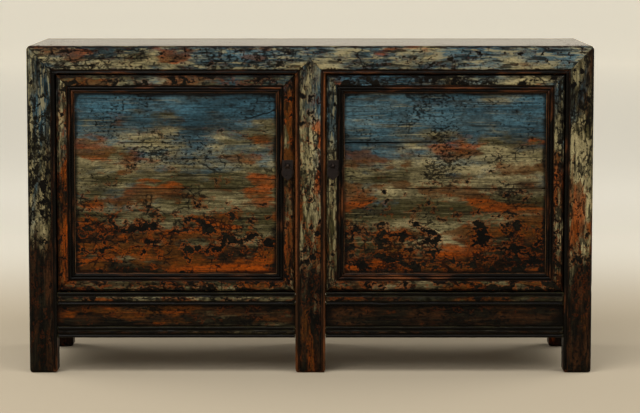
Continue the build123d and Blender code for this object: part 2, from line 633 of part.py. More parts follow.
# --- sides --------------------------------------------------------------------------------------
with BuildPart() as side_lower_rail:
    add_box((LEFT, SIDE_FRONT, LOWER_RAIL[0]), (LEFT + RAIL_DEPTH, SIDE_REAR, LOWER_RAIL[1]))
    fillet(edges().filter_by(Axis.Y).group_by(Axis.X)[0], radius=SMALL_ROUND)
    for tenon in front_to_back_tenons(SIDE_TENON_MIDDLE, SIDE_FRONT, SIDE_REAR, LOWER_RAIL):
        add_box(*tenon)
    cut_groove(SIDE_PANEL, 0)
    cut_groove(SIDE_APRON, 0)
    cut_box(FLOOR, (FLOOR_PLAY, FLOOR_PLAY, 0))
write_pair(side_lower_rail, "left_lower_rail", "right_lower_rail")

with BuildPart() as side_bottom_rail:
    add_box((LEFT, SIDE_FRONT, BOTTOM_RAIL[0]), (LEFT + RAIL_DEPTH, SIDE_REAR, BOTTOM_RAIL[1]))
    fillet(edges().filter_by(Axis.Y).group_by(Axis.X)[0], radius=SMALL_ROUND)
    for tenon in front_to_back_tenons(SIDE_TENON_MIDDLE, SIDE_FRONT, SIDE_REAR, BOTTOM_RAIL):
        add_box(*tenon)
    cut_groove(SIDE_APRON, 0)
write_pair(side_bottom_rail, "left_bottom_rail", "right_bottom_rail")

with BuildPart() as side_panel:
    add_box(*SIDE_PANEL)
write_pair(side_panel, "left_side_panel", "right_side_panel")

with BuildPart() as side_apron:
    add_box(*SIDE_APRON)
write_pair(side_apron, "left_side_apron", "right_side_apron")

# --- floor --------------------------------------------------------------------------------------
with BuildPart() as floor_panel:
    add_box(*FLOOR)
    for near_y, far_y in ((FRONT, SIDE_FRONT), (SIDE_REAR, REAR)):
        corner_foot = ((LEFT, near_y, 0), (BAY_LEFT, far_y, HEIGHT))
        centre_foot = ((BAY_RIGHT, near_y, 0), (-BAY_RIGHT, far_y, HEIGHT))
        cut_box(corner_foot, (FLOOR_PLAY, FLOOR_PLAY, 0))
        cut_box(centre_foot, (FLOOR_PLAY, FLOOR_PLAY, 0))
write_pair(floor_panel, "floor_left", "floor_right")

# --- strips that the doors close against --------------------------------------------------------
with BuildPart() as door_stop:
    stop_face = DOOR_BACK + STOP_CLEARANCE
    add_box(
        (BAY_RIGHT - STOP_WIDTH, stop_face, LOWER_RAIL_TOP),
        (BAY_RIGHT, stop_face + STOP_THICKNESS, TOP_RAIL_BOTTOM),
    )
write_pair(door_stop, "left_door_stop", "right_door_stop")


# --- doors --------------------------------------------------------------------------------------
def add_door_member(corner, across, along, length, through):
    """Add a member of the door frame, mitred in front and either through or butted behind."""
    outer_bead = DOOR_FLAT + DOOR_QUIRK
    inner_bead = outer_bead + 2 * DOOR_BEAD_RADIUS + DOOR_BEAD_SPACING
    inner_bead_end = inner_bead + 2 * DOOR_BEAD_RADIUS
    with BuildSketch(Plane(origin=corner, x_dir=across, z_dir=along)) as section:
        with BuildLine():
            Line((0, DOOR_THICKNESS), (0, DOOR_ARRIS))
            RadiusArc((0, DOOR_ARRIS), (DOOR_ARRIS, 0), DOOR_ARRIS)
            Polyline(
                (DOOR_ARRIS, 0),
                (DOOR_FLAT, 0),
                (DOOR_FLAT, OUTER_BEAD_DEPTH),
                (outer_bead, OUTER_BEAD_DEPTH),
            )
            ThreePointArc(
                (outer_bead, OUTER_BEAD_DEPTH),
                (outer_bead + DOOR_BEAD_RADIUS, OUTER_BEAD_DEPTH - DOOR_BEAD_RADIUS),
                (outer_bead + 2 * DOOR_BEAD_RADIUS, OUTER_BEAD_DEPTH),
            )
            Polyline(
                (outer_bead + 2 * DOOR_BEAD_RADIUS, OUTER_BEAD_DEPTH),
                (outer_bead + 2 * DOOR_BEAD_RADIUS, INNER_BEAD_DEPTH),
                (inner_bead, INNER_BEAD_DEPTH),
            )
            ThreePointArc(
                (inner_bead, INNER_BEAD_DEPTH),
                (inner_bead + DOOR_BEAD_RADIUS, INNER_BEAD_DEPTH - DOOR_BEAD_RADIUS),
                (inner_bead_end, INNER_BEAD_DEPTH),
            )
            Polyline(
                (inner_bead_end, INNER_BEAD_DEPTH),
                (DOOR_MEMBER_WIDTH, DOOR_PANEL_INSET),
                (DOOR_MEMBER_WIDTH, DOOR_THICKNESS),
                (0, DOOR_THICKNESS),
            )
        make_face()
    extrude(section.sketch, amount=length)
    inner = DOOR_MEMBER_WIDTH
    face_plane = Plane(origin=corner, x_dir=across, z_dir=(0, -1, 0))
    with BuildSketch(face_plane) as mitre_waste:
        Polygon((0, 0), (inner, 0), (inner, inner), align=None)
        Polygon((0, length), (inner, length), (inner, length - inner), align=None)
    extrude(mitre_waste.sketch, amount=-DOOR_MITRE_DEPTH, mode=Mode.SUBTRACT)
    if not through:
        with BuildSketch(face_plane.offset(-DOOR_MITRE_DEPTH)) as butt_waste:
            with Locations((0, 0), (0, length - inner)):
                Rectangle(inner, inner, align=(Align.MIN, Align.MIN))
        extrude(butt_waste.sketch, amount=DOOR_MITRE_DEPTH - DOOR_THICKNESS, mode=Mode.SUBTRACT)
    cut_groove(DOOR_PANEL, 1)


with BuildPart() as hinge_stile:
    add_door_member((DOOR_LEFT, DOOR_FACE, DOOR_BOTTOM), (1, 0, 0), (0, 0, 1), DOOR_HEIGHT, through=True)
    for bottom in DOOR_TENON_BOTTOMS.values():
        cut_mortise(door_tenon(DOOR_LEFT, 1, bottom), 0)
    pin_reach = DOOR_GAP + PIVOT_ENGAGEMENT
    for pin_bottom in (DOOR_BOTTOM - pin_reach, DOOR_TOP):
        with Locations((PIVOT_X, PIVOT_Y, pin_bottom)):
            Cylinder(PIVOT_RADIUS, pin_reach, align=(Align.CENTER, Align.CENTER, Align.MIN))
write_pair(hinge_stile, "left_door_hinge_stile", "right_door_hinge_stile")

with BuildPart() as pull_stile:
    add_door_member((DOOR_RIGHT, DOOR_FACE, DOOR_TOP), (-1, 0, 0), (0, 0, -1), DOOR_HEIGHT, through=True)
    for bottom in DOOR_TENON_BOTTOMS.values():
        cut_mortise(door_tenon(DOOR_RIGHT, -1, bottom), 0)
    cut_box(STAPLE_SHANK, (STAPLE_HOLE_CLEARANCE, 0, STAPLE_HOLE_CLEARANCE))
write_pair(pull_stile, "left_door_pull_stile", "right_door_pull_stile")

DOOR_RAIL_STARTS = {
    "top": ((DOOR_LEFT, DOOR_FACE, DOOR_TOP), (0, 0, -1), (1, 0, 0)),
    "bottom": ((DOOR_RIGHT, DOOR_FACE, DOOR_BOTTOM), (0, 0, 1), (-1, 0, 0)),
}
for place, start in DOOR_RAIL_STARTS.items():
    with BuildPart() as door_rail:
        add_door_member(*start, DOOR_WIDTH, through=False)
        add_box(*door_tenon(DOOR_LEFT, 1, DOOR_TENON_BOTTOMS[place]))
        add_box(*door_tenon(DOOR_RIGHT, -1, DOOR_TENON_BOTTOMS[place]))
        for batten in DOOR_BATTENS.values():
            cut_box(batten, (JOINT_CLEARANCE, 0, JOINT_CLEARANCE))
    write_pair(door_rail, f"left_door_{place}_rail", f"right_door_{place}_rail")

with BuildPart() as door_panel:
    add_box(*DOOR_PANEL)
    with BuildSketch(rail_section(DOOR_PANEL[1][0], DOOR_PANEL_FACE, DOOR_PANEL[0][2])):
        for joint_height in accumulate(DOOR_BOARD_WIDTHS):
            with Locations((joint_height, 0)):
                Polygon((-BOARD_JOINT, 0), (BOARD_JOINT, 0), (0, BOARD_JOINT), align=None)
    extrude(amount=DOOR_PANEL[1][0] - DOOR_PANEL[0][0], mode=Mode.SUBTRACT)
write_pair(door_panel, "left_door_panel", "right_door_panel")

for place, batten in DOOR_BATTENS.items():
    with BuildPart() as door_back_batten:
        add_box(*batten)
    write_pair(door_back_batten, f"left_door_{place}_batten", f"right_door_{place}_batten")

# --- pulls --------------------------------------------------------------------------------------
with BuildPart() as pull_plate:
    half_plate = PLATE_SIZE / 2
    add_box(
        (PULL_X - half_plate, DOOR_FACE - PLATE_THICKNESS, PULL_HEIGHT - half_plate),
        (PULL_X + half_plate, DOOR_FACE, PULL_HEIGHT + half_plate),
    )
    fillet(edges().group_by(Axis.Y)[0], radius=PENDANT_EDGE)
    cut_box(STAPLE_SHANK, (STAPLE_HOLE_CLEARANCE, 0, STAPLE_HOLE_CLEARANCE))
write_pair(pull_plate, "left_pull_plate", "right_pull_plate")

with BuildPart() as pull_staple:
    with BuildSketch(RING_PLANE):
        with Locations((0, -STRAP_RADIUS)):
            Rectangle(STRAP_WIDTH, STRAP_THICKNESS)
    revolve(axis=Axis((PULL_X, RING_Y, PULL_HEIGHT), (1, 0, 0)))
    add_box(*STAPLE_SHANK)
    add_box(*STAPLE_LEGS)
write_pair(pull_staple, "left_pull_staple", "right_pull_staple")

with BuildPart() as pull_pendant:
    with BuildSketch(RING_PLANE.offset(-PENDANT_THICKNESS / 2)):
        with Locations((0, -PENDANT_DROP)):
            Circle(PENDANT_RADIUS)
        with Locations((0, -PENDANT_TIP_DROP)):
            Circle(PENDANT_TIP_RADIUS)
        make_hull()
        with Locations((0, -PENDANT_LUG_DROP)):
            Circle(PENDANT_LUG_RADIUS)
    extrude(amount=PENDANT_THICKNESS)
    fillet(edges().group_by(Axis.Y)[0], radius=PENDANT_EDGE)
    with BuildSketch(RING_PLANE.offset(-PENDANT_THICKNESS / 2)):
        with Locations((0, -STRAP_RADIUS)):
            Rectangle(STRAP_WIDTH + 2 * PENDANT_PLAY, STRAP_THICKNESS + 2 * PENDANT_PLAY)
    extrude(amount=PENDANT_THICKNESS, mode=Mode.SUBTRACT)
write_pair(pull_pendant, "left_pull_pendant", "right_pull_pendant")
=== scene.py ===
"""Kang cabinet: worn timber, layered lacquer, iron pulls and a plain stage round the CAD part.

Each member is a copy of its CAD piece, cut across the grain and worn by one Geometry Nodes tree.
Each finish is built from a few shared shader groups. Lengths are metres, +Z is up and the doors
face -Y.
"""
import json
from functools import cache
from math import ceil, cos, radians, sin
from typing import NamedTuple

import bmesh
import bpy
from bpy.props import FloatProperty, FloatVectorProperty, IntProperty, PointerProperty
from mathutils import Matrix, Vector
from mathutils.kdtree import KDTree


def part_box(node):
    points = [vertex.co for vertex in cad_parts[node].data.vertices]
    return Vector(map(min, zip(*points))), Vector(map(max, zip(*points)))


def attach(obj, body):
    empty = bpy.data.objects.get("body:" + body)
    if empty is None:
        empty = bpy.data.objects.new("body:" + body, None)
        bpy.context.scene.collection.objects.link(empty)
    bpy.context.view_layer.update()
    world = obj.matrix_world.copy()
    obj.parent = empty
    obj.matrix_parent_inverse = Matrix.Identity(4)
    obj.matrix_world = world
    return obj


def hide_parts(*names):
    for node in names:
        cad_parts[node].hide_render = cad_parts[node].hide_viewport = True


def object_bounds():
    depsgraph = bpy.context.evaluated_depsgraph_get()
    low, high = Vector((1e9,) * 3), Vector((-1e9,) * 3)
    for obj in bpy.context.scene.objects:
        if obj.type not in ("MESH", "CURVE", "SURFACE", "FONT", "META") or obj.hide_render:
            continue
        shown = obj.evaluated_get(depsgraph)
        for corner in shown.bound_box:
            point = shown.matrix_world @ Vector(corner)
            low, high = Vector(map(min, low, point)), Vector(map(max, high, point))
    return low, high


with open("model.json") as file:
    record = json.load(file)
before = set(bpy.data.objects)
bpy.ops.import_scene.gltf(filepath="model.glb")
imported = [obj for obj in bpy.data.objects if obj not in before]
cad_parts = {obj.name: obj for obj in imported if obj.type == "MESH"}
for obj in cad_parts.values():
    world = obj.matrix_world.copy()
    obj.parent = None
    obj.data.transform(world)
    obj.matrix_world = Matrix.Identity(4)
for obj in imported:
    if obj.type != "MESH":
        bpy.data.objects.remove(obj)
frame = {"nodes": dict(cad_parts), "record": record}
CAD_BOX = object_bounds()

bl_info = {
    "name": "Kang Cabinet",
    "version": (1, 0, 0),
    "blender": (4, 5, 0),
    "location": "3D Viewport > Sidebar > Cabinet",
    "description": "Dresses a two-door kang cabinet in worn layered lacquer",
    "category": "Object",
}

X, Y, Z = 0, 1, 2
MM = 0.001
SIDES = ("left", "right")
box_of = cache(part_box)          # lowest and highest corner of a CAD piece
FRONT = box_of("front_left_post")[0][Y]
REAR = box_of("rear_left_post")[1][Y]
CASE_TOP = box_of("top_panel")[1][Z]
LOWER_RAIL_TOP = box_of("front_left_lower_rail")[1][Z]
CASE = (                        # opposite corners of the case, without the pulls
    Vector((box_of("front_left_post")[0][X], FRONT, 0)),
    Vector((box_of("front_right_post")[1][X], REAR, CASE_TOP)),
)

BEAD = 10.4 * MM                # bead and its sunk line, along the arrises of the front
DOOR_FLAT = 27.4 * MM           # flat part of a door member's face
DOOR_MEMBER = 47.0 * MM
MOULDING_DEPTH = 14.0 * MM      # how far behind the front a moulding can lie
MERGE = 1.0e-6

END_WALL = 18.0 * MM            # what closes the case: its ends, front, back, top and floor
FRONT_WALL = 28.5 * MM
BACK_WALL = 16.0 * MM
TOP_WALL = 17.0 * MM
FLOOR_DROP = 11.0 * MM          # from the top of the rails under the doors to the floor
CASE_HOLLOW = (                 # faces that look into this box are bare inside faces
    Vector((CAD_BOX[0].x + END_WALL, FRONT + FRONT_WALL, LOWER_RAIL_TOP - FLOOR_DROP)),
    Vector((CAD_BOX[1].x - END_WALL, REAR - BACK_WALL, CASE_TOP - TOP_WALL)),
)
PROBE = 4.0 * MM                # how far in front of a face its surroundings are tested
FACE, MOULDING, INSIDE, TOP = range(4)
UPWARD = 0.93                   # least Z of the normal of a face of the top
REARWARD = 0.3                  # least Y of the normal of a face that looks to the rear
TOP_BAND = 5.0 * MM             # how far down the finish of the top reaches
FLAT_ANGLE = radians(1)         # faces that turn by less are joined before the cuts
ARRIS_ANGLE = radians(35)       # edges that turn by more are arrises or corners
SHARP_ANGLE = radians(40)       # edges that turn by more are shaded sharp
ROUND_START = 3.0 * MM          # worn outer arrises of the case: full wear up to here
ROUND_END = 9.0 * MM            # and none from here
MITRE_WEAR = 0.55               # wear of a mitre line beside that of an open arris
MITRE_SLACK = 0.01              # how far the normal of a face in a mitre can be off
BOARD_JOINTS = (395 * MM, 480 * MM, 600 * MM)   # heights of the joints in the door panels
JOINT_CUT = 1.6 * MM            # a joint is cut this far above and below its middle
JOINT_REACH = 1.5 * MM          # and opens this far
EDGE_CUTS = (1.5 * MM, 4.0 * MM)    # how far beside an edge of a face it is cut
NARROW_FACE = 10.0 * MM         # a narrower face is cut once, in its middle
APRON_INSET = 6.0 * MM          # from an apron's edges to its opening
APRON_DIRT_AND_SHADE = (45 * MM, 9 * MM)  # how far dirt and painted shade spread from the ends and from the long edges
# how far dirt and painted shade spread from the sides and from the top and bottom of a door's
# opening
PANEL_DIRT_AND_SHADE = (14 * MM, 13 * MM)

GRAIN_STRETCH = 0.16            # scale of a pattern along the grain, beside 1 across it
STRETCH = {
    X: (GRAIN_STRETCH, 1.0, 1.0),
    Y: (1.0, GRAIN_STRETCH, 1.0),
    Z: (1.0, 1.0, GRAIN_STRETCH),
}


def linear(red, green, blue):
    """Linear colour of an 8-bit display colour."""
    channels = [value / 255 for value in (red, green, blue)]
    return tuple(((c + 0.055) / 1.055) ** 2.4 if c > 0.04045 else c / 12.92 for c in channels)


def colour_setting(name, description, display_colour):
    """A colour property whose default is given as an 8-bit display colour."""
    return FloatVectorProperty(
        name=name, description=description, subtype="COLOR", size=3, min=0.0, max=1.0,
        default=linear(*display_colour),
    )


def number_setting(name, description, default, **options):
    """A number property."""
    return FloatProperty(name=name, description=description, default=default, **options)


def length_setting(name, description, default):
    """A length property, in metres."""
    return number_setting(name, description, default, unit="LENGTH")


class CabinetWear(bpy.types.PropertyGroup):
    """How far use has worn the timber."""

    pitch: length_setting("Pitch", "Spacing of the cuts along the grain", 6 * MM)
    across_pitch: length_setting("Across pitch", "Spacing of the cuts across the grain", 12 * MM)
    panel_pitch: length_setting("Panel pitch", "Spacing of the cuts in the door panels", 4 * MM)
    ripple: length_setting("Ripple", "Depth of the plane marks and warp", 0.5 * MM)
    dents: length_setting("Dents", "Depth of dents and lost splinters", 1.3 * MM)
    arris: length_setting("Arris loss", "Depth of wear on the arrises", 1.1 * MM)
    joint: length_setting("Open joints", "Depth of the opened joints between boards", 3.0 * MM)
    fill: length_setting("Joint fill", "Thickness of the lacquer in the closed joints", 0.7 * MM)
    # the dirt that spreads from a corner also stands for painted shade there
    reach: length_setting("Reach", "How far wear and dirt spread from an arris or a corner", 7 * MM)
    seed: IntProperty(name="Seed", description="Place of the random marks", default=11)


class CabinetFinish(bpy.types.PropertyGroup):
    """Colours of the finish, from the ground up."""

    black: colour_setting("Black", "Oldest lacquer, seen in the losses", (9, 7, 5))
    slate: colour_setting("Slate", "Grey film on the losses", (22, 19, 12))
    brown: colour_setting("Brown", "Dark ground under the colours", (50, 30, 15))
    cream: colour_setting("Cream", "Cream layer", (152, 141, 104))
    olive: colour_setting("Olive", "Dirty cream layer", (54, 50, 28))
    orange: colour_setting("Orange", "Bright orange layer", (136, 60, 8))
    rust: colour_setting("Rust", "Dull orange layer", (76, 43, 12))
    blue: colour_setting("Blue", "Clean blue layer", (58, 93, 108))
    teal: colour_setting("Teal", "Dark blue layer", (26, 46, 54))
    bead: colour_setting("Bead", "Red-brown wood on the crests of the beads", (98, 56, 28))
    top: colour_setting("Top", "Dark brown lacquer of the top", (58, 40, 30))
    timber: colour_setting("Timber", "Bare old softwood", (134, 100, 68))
    timber_dark: colour_setting("Dark timber", "Dark lines of the bare wood", (96, 69, 45))
    iron: colour_setting("Iron", "Blackened iron", (42, 37, 36))
    rusty: colour_setting("Rusty iron", "Brown bloom on the iron", (56, 43, 34))


class CabinetStage(bpy.types.PropertyGroup):
    """Camera, light and backdrop."""

    # the wall colour gives the painted light of the far backdrop and the colour of its glow
    wall: colour_setting("Wall", "Colour of the backdrop", (230, 224, 209))
    floor: colour_setting("Floor", "Colour of the floor", (172, 160, 139))
    reach: length_setting("Reach", "Floor from the middle to the wall", 18.0)
    bend: length_setting("Bend", "Radius of the curve from the floor up to the wall", 3.0)
    wall_height: length_setting("Wall height", "Height of the wall", 8.0)
    glow: number_setting("Glow", "Light that the far backdrop gives", 0.60)
    camera_x: length_setting("Camera X", "Camera to the right of the middle", 0.025)
    camera_y: length_setting("Camera Y", "Camera in front of the middle", -6.498)
    camera_z: length_setting("Camera Z", "Camera above the floor", 1.140)
    pitch: number_setting("Pitch", "Downward tilt of the camera", radians(5.81), subtype="ANGLE")
    lens: number_setting("Lens", "Focal length", 137.5, unit="CAMERA")
    shift: number_setting("Shift", "Upward lens shift", -0.04)
    key: number_setting("Key", "Power of the main light", 88.0, unit="POWER")
    overhead: number_setting("Overhead", "Power of the top light", 125.0, unit="POWER")
    fill: number_setting("Fill", "Power of the fill light", 22.0, unit="POWER")
    side: number_setting("Side", "Power of each light at the ends", 47.0, unit="POWER")
    sky: number_setting("Sky", "Strength of the light all round", 0.02)


class CabinetSettings(bpy.types.PropertyGroup):
    """All settings of the cabinet."""

    wear: PointerProperty(type=CabinetWear)
    finish: PointerProperty(type=CabinetFinish)
    stage: PointerProperty(type=CabinetStage)


def settings():
    """The scene's cabinet settings."""
    return bpy.context.scene.kang_cabinet


# --- laying nodes ---
class Bench:
    """Lays nodes in a tree and links them."""

    def __init__(self, tree):
        self.tree = tree

    def feed(self, socket, value):
        """Link another node's output to a socket, or set the socket's own value."""
        if isinstance(value, bpy.types.NodeSocket):
            self.tree.links.new(value, socket)
        else:
            socket.default_value = value

    def put(self, kind, feeds=None, **options):
        """Add a node, set its options and feed its inputs."""
        node = self.tree.nodes.new(kind)
        for option, value in options.items():
            setattr(node, option, value)
        for key, value in (feeds or {}).items():
            self.feed(node.inputs[key], value)
        return node

    def math(self, operation, *values):
        """A sum on numbers."""
        return self.put("ShaderNodeMath", dict(enumerate(values)), operation=operation).outputs[0]

    def plus(self, value, other):
        """Sum of two numbers."""
        return self.math("ADD", value, other)

    def times(self, value, factor):
        """Product of two numbers."""
        return self.math("MULTIPLY", value, factor)

    def scaled(self, value, factor, offset):
        """A number times a factor, plus an offset."""
        return self.math("MULTIPLY_ADD", value, factor, offset)

    def vector(self, operation, *values):
        """A sum on vectors."""
        node = self.put("ShaderNodeVectorMath", dict(enumerate(values)), operation=operation)
        return node.outputs[0]

    def noise(self, place, scale, detail=4.0, roughness=0.6, distortion=0.0):
        """Cloudy noise round one half."""
        feeds = {
            "Vector": place, "Scale": scale, "Detail": detail, "Roughness": roughness,
            "Distortion": distortion,
        }
        return self.put("ShaderNodeTexNoise", feeds).outputs[0]

    def band(self, value, low, high):
        """Smooth step from 0 at low to 1 at high."""
        feeds = {"Value": value, "From Min": low, "From Max": high}
        node = self.put("ShaderNodeMapRange", feeds, interpolation_type="SMOOTHSTEP")
        return node.outputs[0]

    def mix(self, factor, first, second, strength=None):
        """Blend of two colours, by a mask that a strength can weaken."""
        if strength is not None:
            factor = self.times(factor, strength)
        node = self.put("ShaderNodeMix", {0: factor}, data_type="RGBA")
        for socket, colour in ((node.inputs[6], first), (node.inputs[7], second)):
            if not isinstance(colour, bpy.types.NodeSocket):
                colour = (*colour, 1.0)
            self.feed(socket, colour)
        return node.outputs[2]

    def cells(self, place, scale):
        """Distance to the edges of random cells."""
        feeds = {"Vector": place, "Scale": scale}
        node = self.put("ShaderNodeTexVoronoi", feeds, feature="DISTANCE_TO_EDGE")
        return node.outputs["Distance"]


def built(name, build):
    """The node group of a name, built on its first use."""
    if name not in bpy.data.node_groups:
        build(name)
    return bpy.data.node_groups[name]


def new_group(name, kind, inputs, outputs):
    """The bench of a new node group with named sockets, and what goes in and comes out."""
    tree = bpy.data.node_groups.new(name, kind)
    for side, sockets in (("INPUT", inputs), ("OUTPUT", outputs)):
        for kind_of_socket, labels in sockets.items():
            for label in labels:
                tree.interface.new_socket(
                    label, in_out=side, socket_type=f"NodeSocket{kind_of_socket}"
                )
    bench = Bench(tree)
    given = bench.put("NodeGroupInput").outputs
    result = bench.put("NodeGroupOutput").inputs
    return bench, given, result


# --- worn timber ---
GEOMETRY = {"Geometry": ("Geometry",)}
TREE_INPUTS = {
    **GEOMETRY, "Vector": ("Stretch",), "Int": ("Seed",),
    "Float": ("Ripple", "Dents", "Arris Loss", "Joint Depth", "Joint Fill"),
    "Material": ("Face Finish", "Moulding Finish", "Inside Finish", "Top Finish"),
}


def wear_tree(name):
    """Geometry Nodes tree that wears a finely cut member: warp, dents, arrises and joints."""
    bench, given, result = new_group(name, "GeometryNodeTree", TREE_INPUTS, GEOMETRY)

    def attribute(label, data_type="FLOAT"):
        """A value that the member carries."""
        node = bench.put("GeometryNodeInputNamedAttribute", {"Name": label}, data_type=data_type)
        return node.outputs[0]

    seed_step = bench.times(given["Seed"], 1.37)
    place = bench.vector("ADD", bench.put("GeometryNodeInputPosition").outputs[0], seed_step)
    grain = bench.vector("MULTIPLY", place, given["Stretch"])
    arris = attribute("arris")
    ripple = bench.times(bench.noise(grain, 24.0, 2.0), given["Ripple"])
    dent_mask = bench.band(bench.noise(grain, 55.0, 3.0), 0.60, 0.72)
    dents = bench.times(dent_mask, given["Dents"])
    chips = bench.band(bench.noise(grain, 90.0, 3.0), 0.36, 0.66)
    worn_arris = bench.times(bench.math("POWER", arris, 4.0), given["Arris Loss"])
    arris_loss = bench.times(worn_arris, bench.plus(chips, 0.35))
    opening = bench.band(bench.noise(grain, 11.0, 2.0), 0.41, 0.50)
    filled = bench.times(given["Joint Fill"], -1.0)
    depths = {"Value": opening, "To Min": filled, "To Max": given["Joint Depth"]}
    depth = bench.put("ShaderNodeMapRange", depths).outputs[0]
    joint = bench.times(attribute("joint"), depth)
    loss = bench.plus(bench.plus(ripple, dents), bench.plus(arris_loss, joint))
    normal = bench.put("GeometryNodeInputNormal").outputs[0]
    move = {0: normal, "Scale": bench.times(loss, -1.0)}
    inward = bench.put("ShaderNodeVectorMath", move, operation="SCALE").outputs[0]
    moved = bench.put("GeometryNodeSetPosition", {"Geometry": given["Geometry"], "Offset": inward})
    # dirt and painted shade: corners and panel margins, plus the opened joints
    dirt_and_shade = bench.plus(attribute("hollow"), bench.times(attribute("joint"), opening))
    store = {"Geometry": moved.outputs[0], "Name": "hollow", "Value": dirt_and_shade}
    with_dirt_and_shade = bench.put("GeometryNodeStoreNamedAttribute", store, data_type="FLOAT")
    whole = bench.put("GeometryNodeRealizeInstances", {0: with_dirt_and_shade.outputs[0]}).outputs[0]
    skin = attribute("skin", "INT")
    for value, finish in enumerate(("Face", "Moulding", "Inside", "Top")):
        chosen = bench.put(
            "FunctionNodeCompare", {2: skin, 3: value}, data_type="INT", operation="EQUAL"
        ).outputs[0]
        coat = {"Geometry": whole, "Selection": chosen, "Material": given[f"{finish} Finish"]}
        whole = bench.put("GeometryNodeSetMaterial", coat).outputs[0]
    bench.feed(result[0], whole)


def spaced(low, high, pitch):
    """Evenly spaced places between two limits, no further apart than the pitch."""
    count = ceil((high - low) / pitch)
    return [low + (high - low) * step / count for step in range(1, count)]


def cut_across(bm, axis, places):
    """Cut a mesh by planes across an axis, in order, touching only what lies beyond each plane."""
    normal = Vector(1.0 if index == axis else 0.0 for index in range(3))
    beyond = bm.faces[:]
    for place in sorted(places):
        touched = dict.fromkeys(vert for face in beyond for vert in face.verts)
        touched |= dict.fromkeys(edge for face in beyond for edge in face.edges)
        cut = bmesh.ops.bisect_plane(
            bm, geom=[*touched, *beyond], plane_co=normal * place, plane_no=normal, dist=MERGE
        )
        faces = [item for item in cut["geom"] if isinstance(item, bmesh.types.BMFace)]
        beyond = [f for f in faces if max(v.co[axis] for v in f.verts) > place + MERGE]


def edge_lines(low, high, pitch):
    """Places beside both edges of a face and between them, or the middle of a narrow face."""
    near, far = EDGE_CUTS
    if high - low < NARROW_FACE:
        return [(low + high) / 2]
    return [low + near, low + far, *spaced(low + far, high - far, pitch), high - far, high - near]


def closeness(bm, chosen_edges, reach):
    """For each vertex, 1 on the chosen edges, falling to 0 at the reach."""
    marked = dict.fromkeys(vert for edge in chosen_edges for vert in edge.verts)
    if not marked:
        return [0.0] * len(bm.verts)
    tree = KDTree(len(marked))
    for index, vert in enumerate(marked):
        tree.insert(vert.co, index)
    tree.balance()
    return [max(0.0, 1.0 - tree.find(vert.co)[2] / reach) for vert in bm.verts]


def is_sharp(edge, side):
    """True for an edge that turns sharply, outwards (1) or inwards (-1)."""
    return len(edge.link_faces) == 2 and edge.calc_face_angle_signed(0.0) * side > ARRIS_ANGLE


def is_mitre(face):
    """True for a face that lies in a mitre: halfway between two of the main directions."""
    parts = sorted(abs(part) for part in face.normal)
    ideal = (0.0, cos(radians(45)), sin(radians(45)))
    return all(abs(part - goal) < MITRE_SLACK for part, goal in zip(parts, ideal))


def outer_wear(point):
    """Wear of the rounded outer arrises of the case, by the distance from the nearest."""
    low, high = CASE
    to_end = min(point.x - low.x, high.x - point.x)
    to_front_or_rear = min(point.y - low.y, high.y - point.y)
    to_arris = sorted((to_end, to_front_or_rear, high.z - point.z))[1]
    return min(1.0, (ROUND_END - to_arris) / (ROUND_END - ROUND_START))


def looks_inside(face):
    """True if a face looks into the hollow of the case."""
    point = face.calc_center_median() + face.normal * PROBE
    low, high = CASE_HOLLOW
    return all(low[axis] < point[axis] < high[axis] for axis in range(3))


class Member(NamedTuple):
    """One piece of the cabinet and how it is worn and finished."""

    node: str
    grain: int                      # axis that the grain or the streaks run along
    face: str                       # finish of its faces
    moulding: str = "dark_bead"     # finish of its beads
    beads: tuple = ()               # (axis, low, high) of each bead, or "door" in a door frame
    margin: tuple = ()              # corners of the opening round a panel, reach of its dirt and painted shade
    joints: tuple = ()              # heights of the joints between boards
    pitch: float = 1.0              # times the usual spacing of the cuts
    wear: float = 1.0               # times the usual wear


def bead_at(node, axis, side):
    """Range of the bead along one edge of a piece."""
    low, high = box_of(node)
    if side < 0:
        return axis, low[axis], low[axis] + BEAD
    return axis, high[axis] - BEAD, high[axis]


@cache
def door_box(side):
    """Outer corners of a door, without its pivot pins."""
    rail_low, rail_high = box_of(f"{side}_door_bottom_rail"), box_of(f"{side}_door_top_rail")
    return rail_low[0], rail_high[1]


def door_margin(point, side):
    """Distance from a point to the nearest outer edge of a door."""
    low, high = door_box(side)
    return min(point[X] - low[X], high[X] - point[X], point[Z] - low[Z], high[Z] - point[Z])


def skin_of(face, member):
    """Which of the four finishes a face of a member takes."""
    centre = face.calc_center_median()
    if looks_inside(face):
        return INSIDE
    if face.normal.z > UPWARD and centre.z > CASE_TOP - TOP_BAND:
        return TOP
    if face.normal.y > REARWARD:
        return INSIDE if "door" in member.node else FACE
    if centre.y > FRONT + MOULDING_DEPTH:
        return FACE
    if member.beads == ("door",):
        side = "left" if centre.x < 0 else "right"
        return MOULDING if door_margin(centre, side) > DOOR_FLAT else FACE
    beaded = any(low <= centre[axis] <= high for axis, low, high in member.beads)
    return MOULDING if beaded else FACE


def panel_dirt_and_shade(point, margin):
    """Dirt and painted shade near the edges of the opening that frames a panel."""
    low, high, reach_x, reach_z = margin
    side = min(point.x - low[X], high[X] - point.x) / reach_x
    level = min(point.z - low[Z], high[Z] - point.z) / reach_z
    return max(0.0, 1.0 - max(0.0, side)) + max(0.0, 1.0 - max(0.0, level))


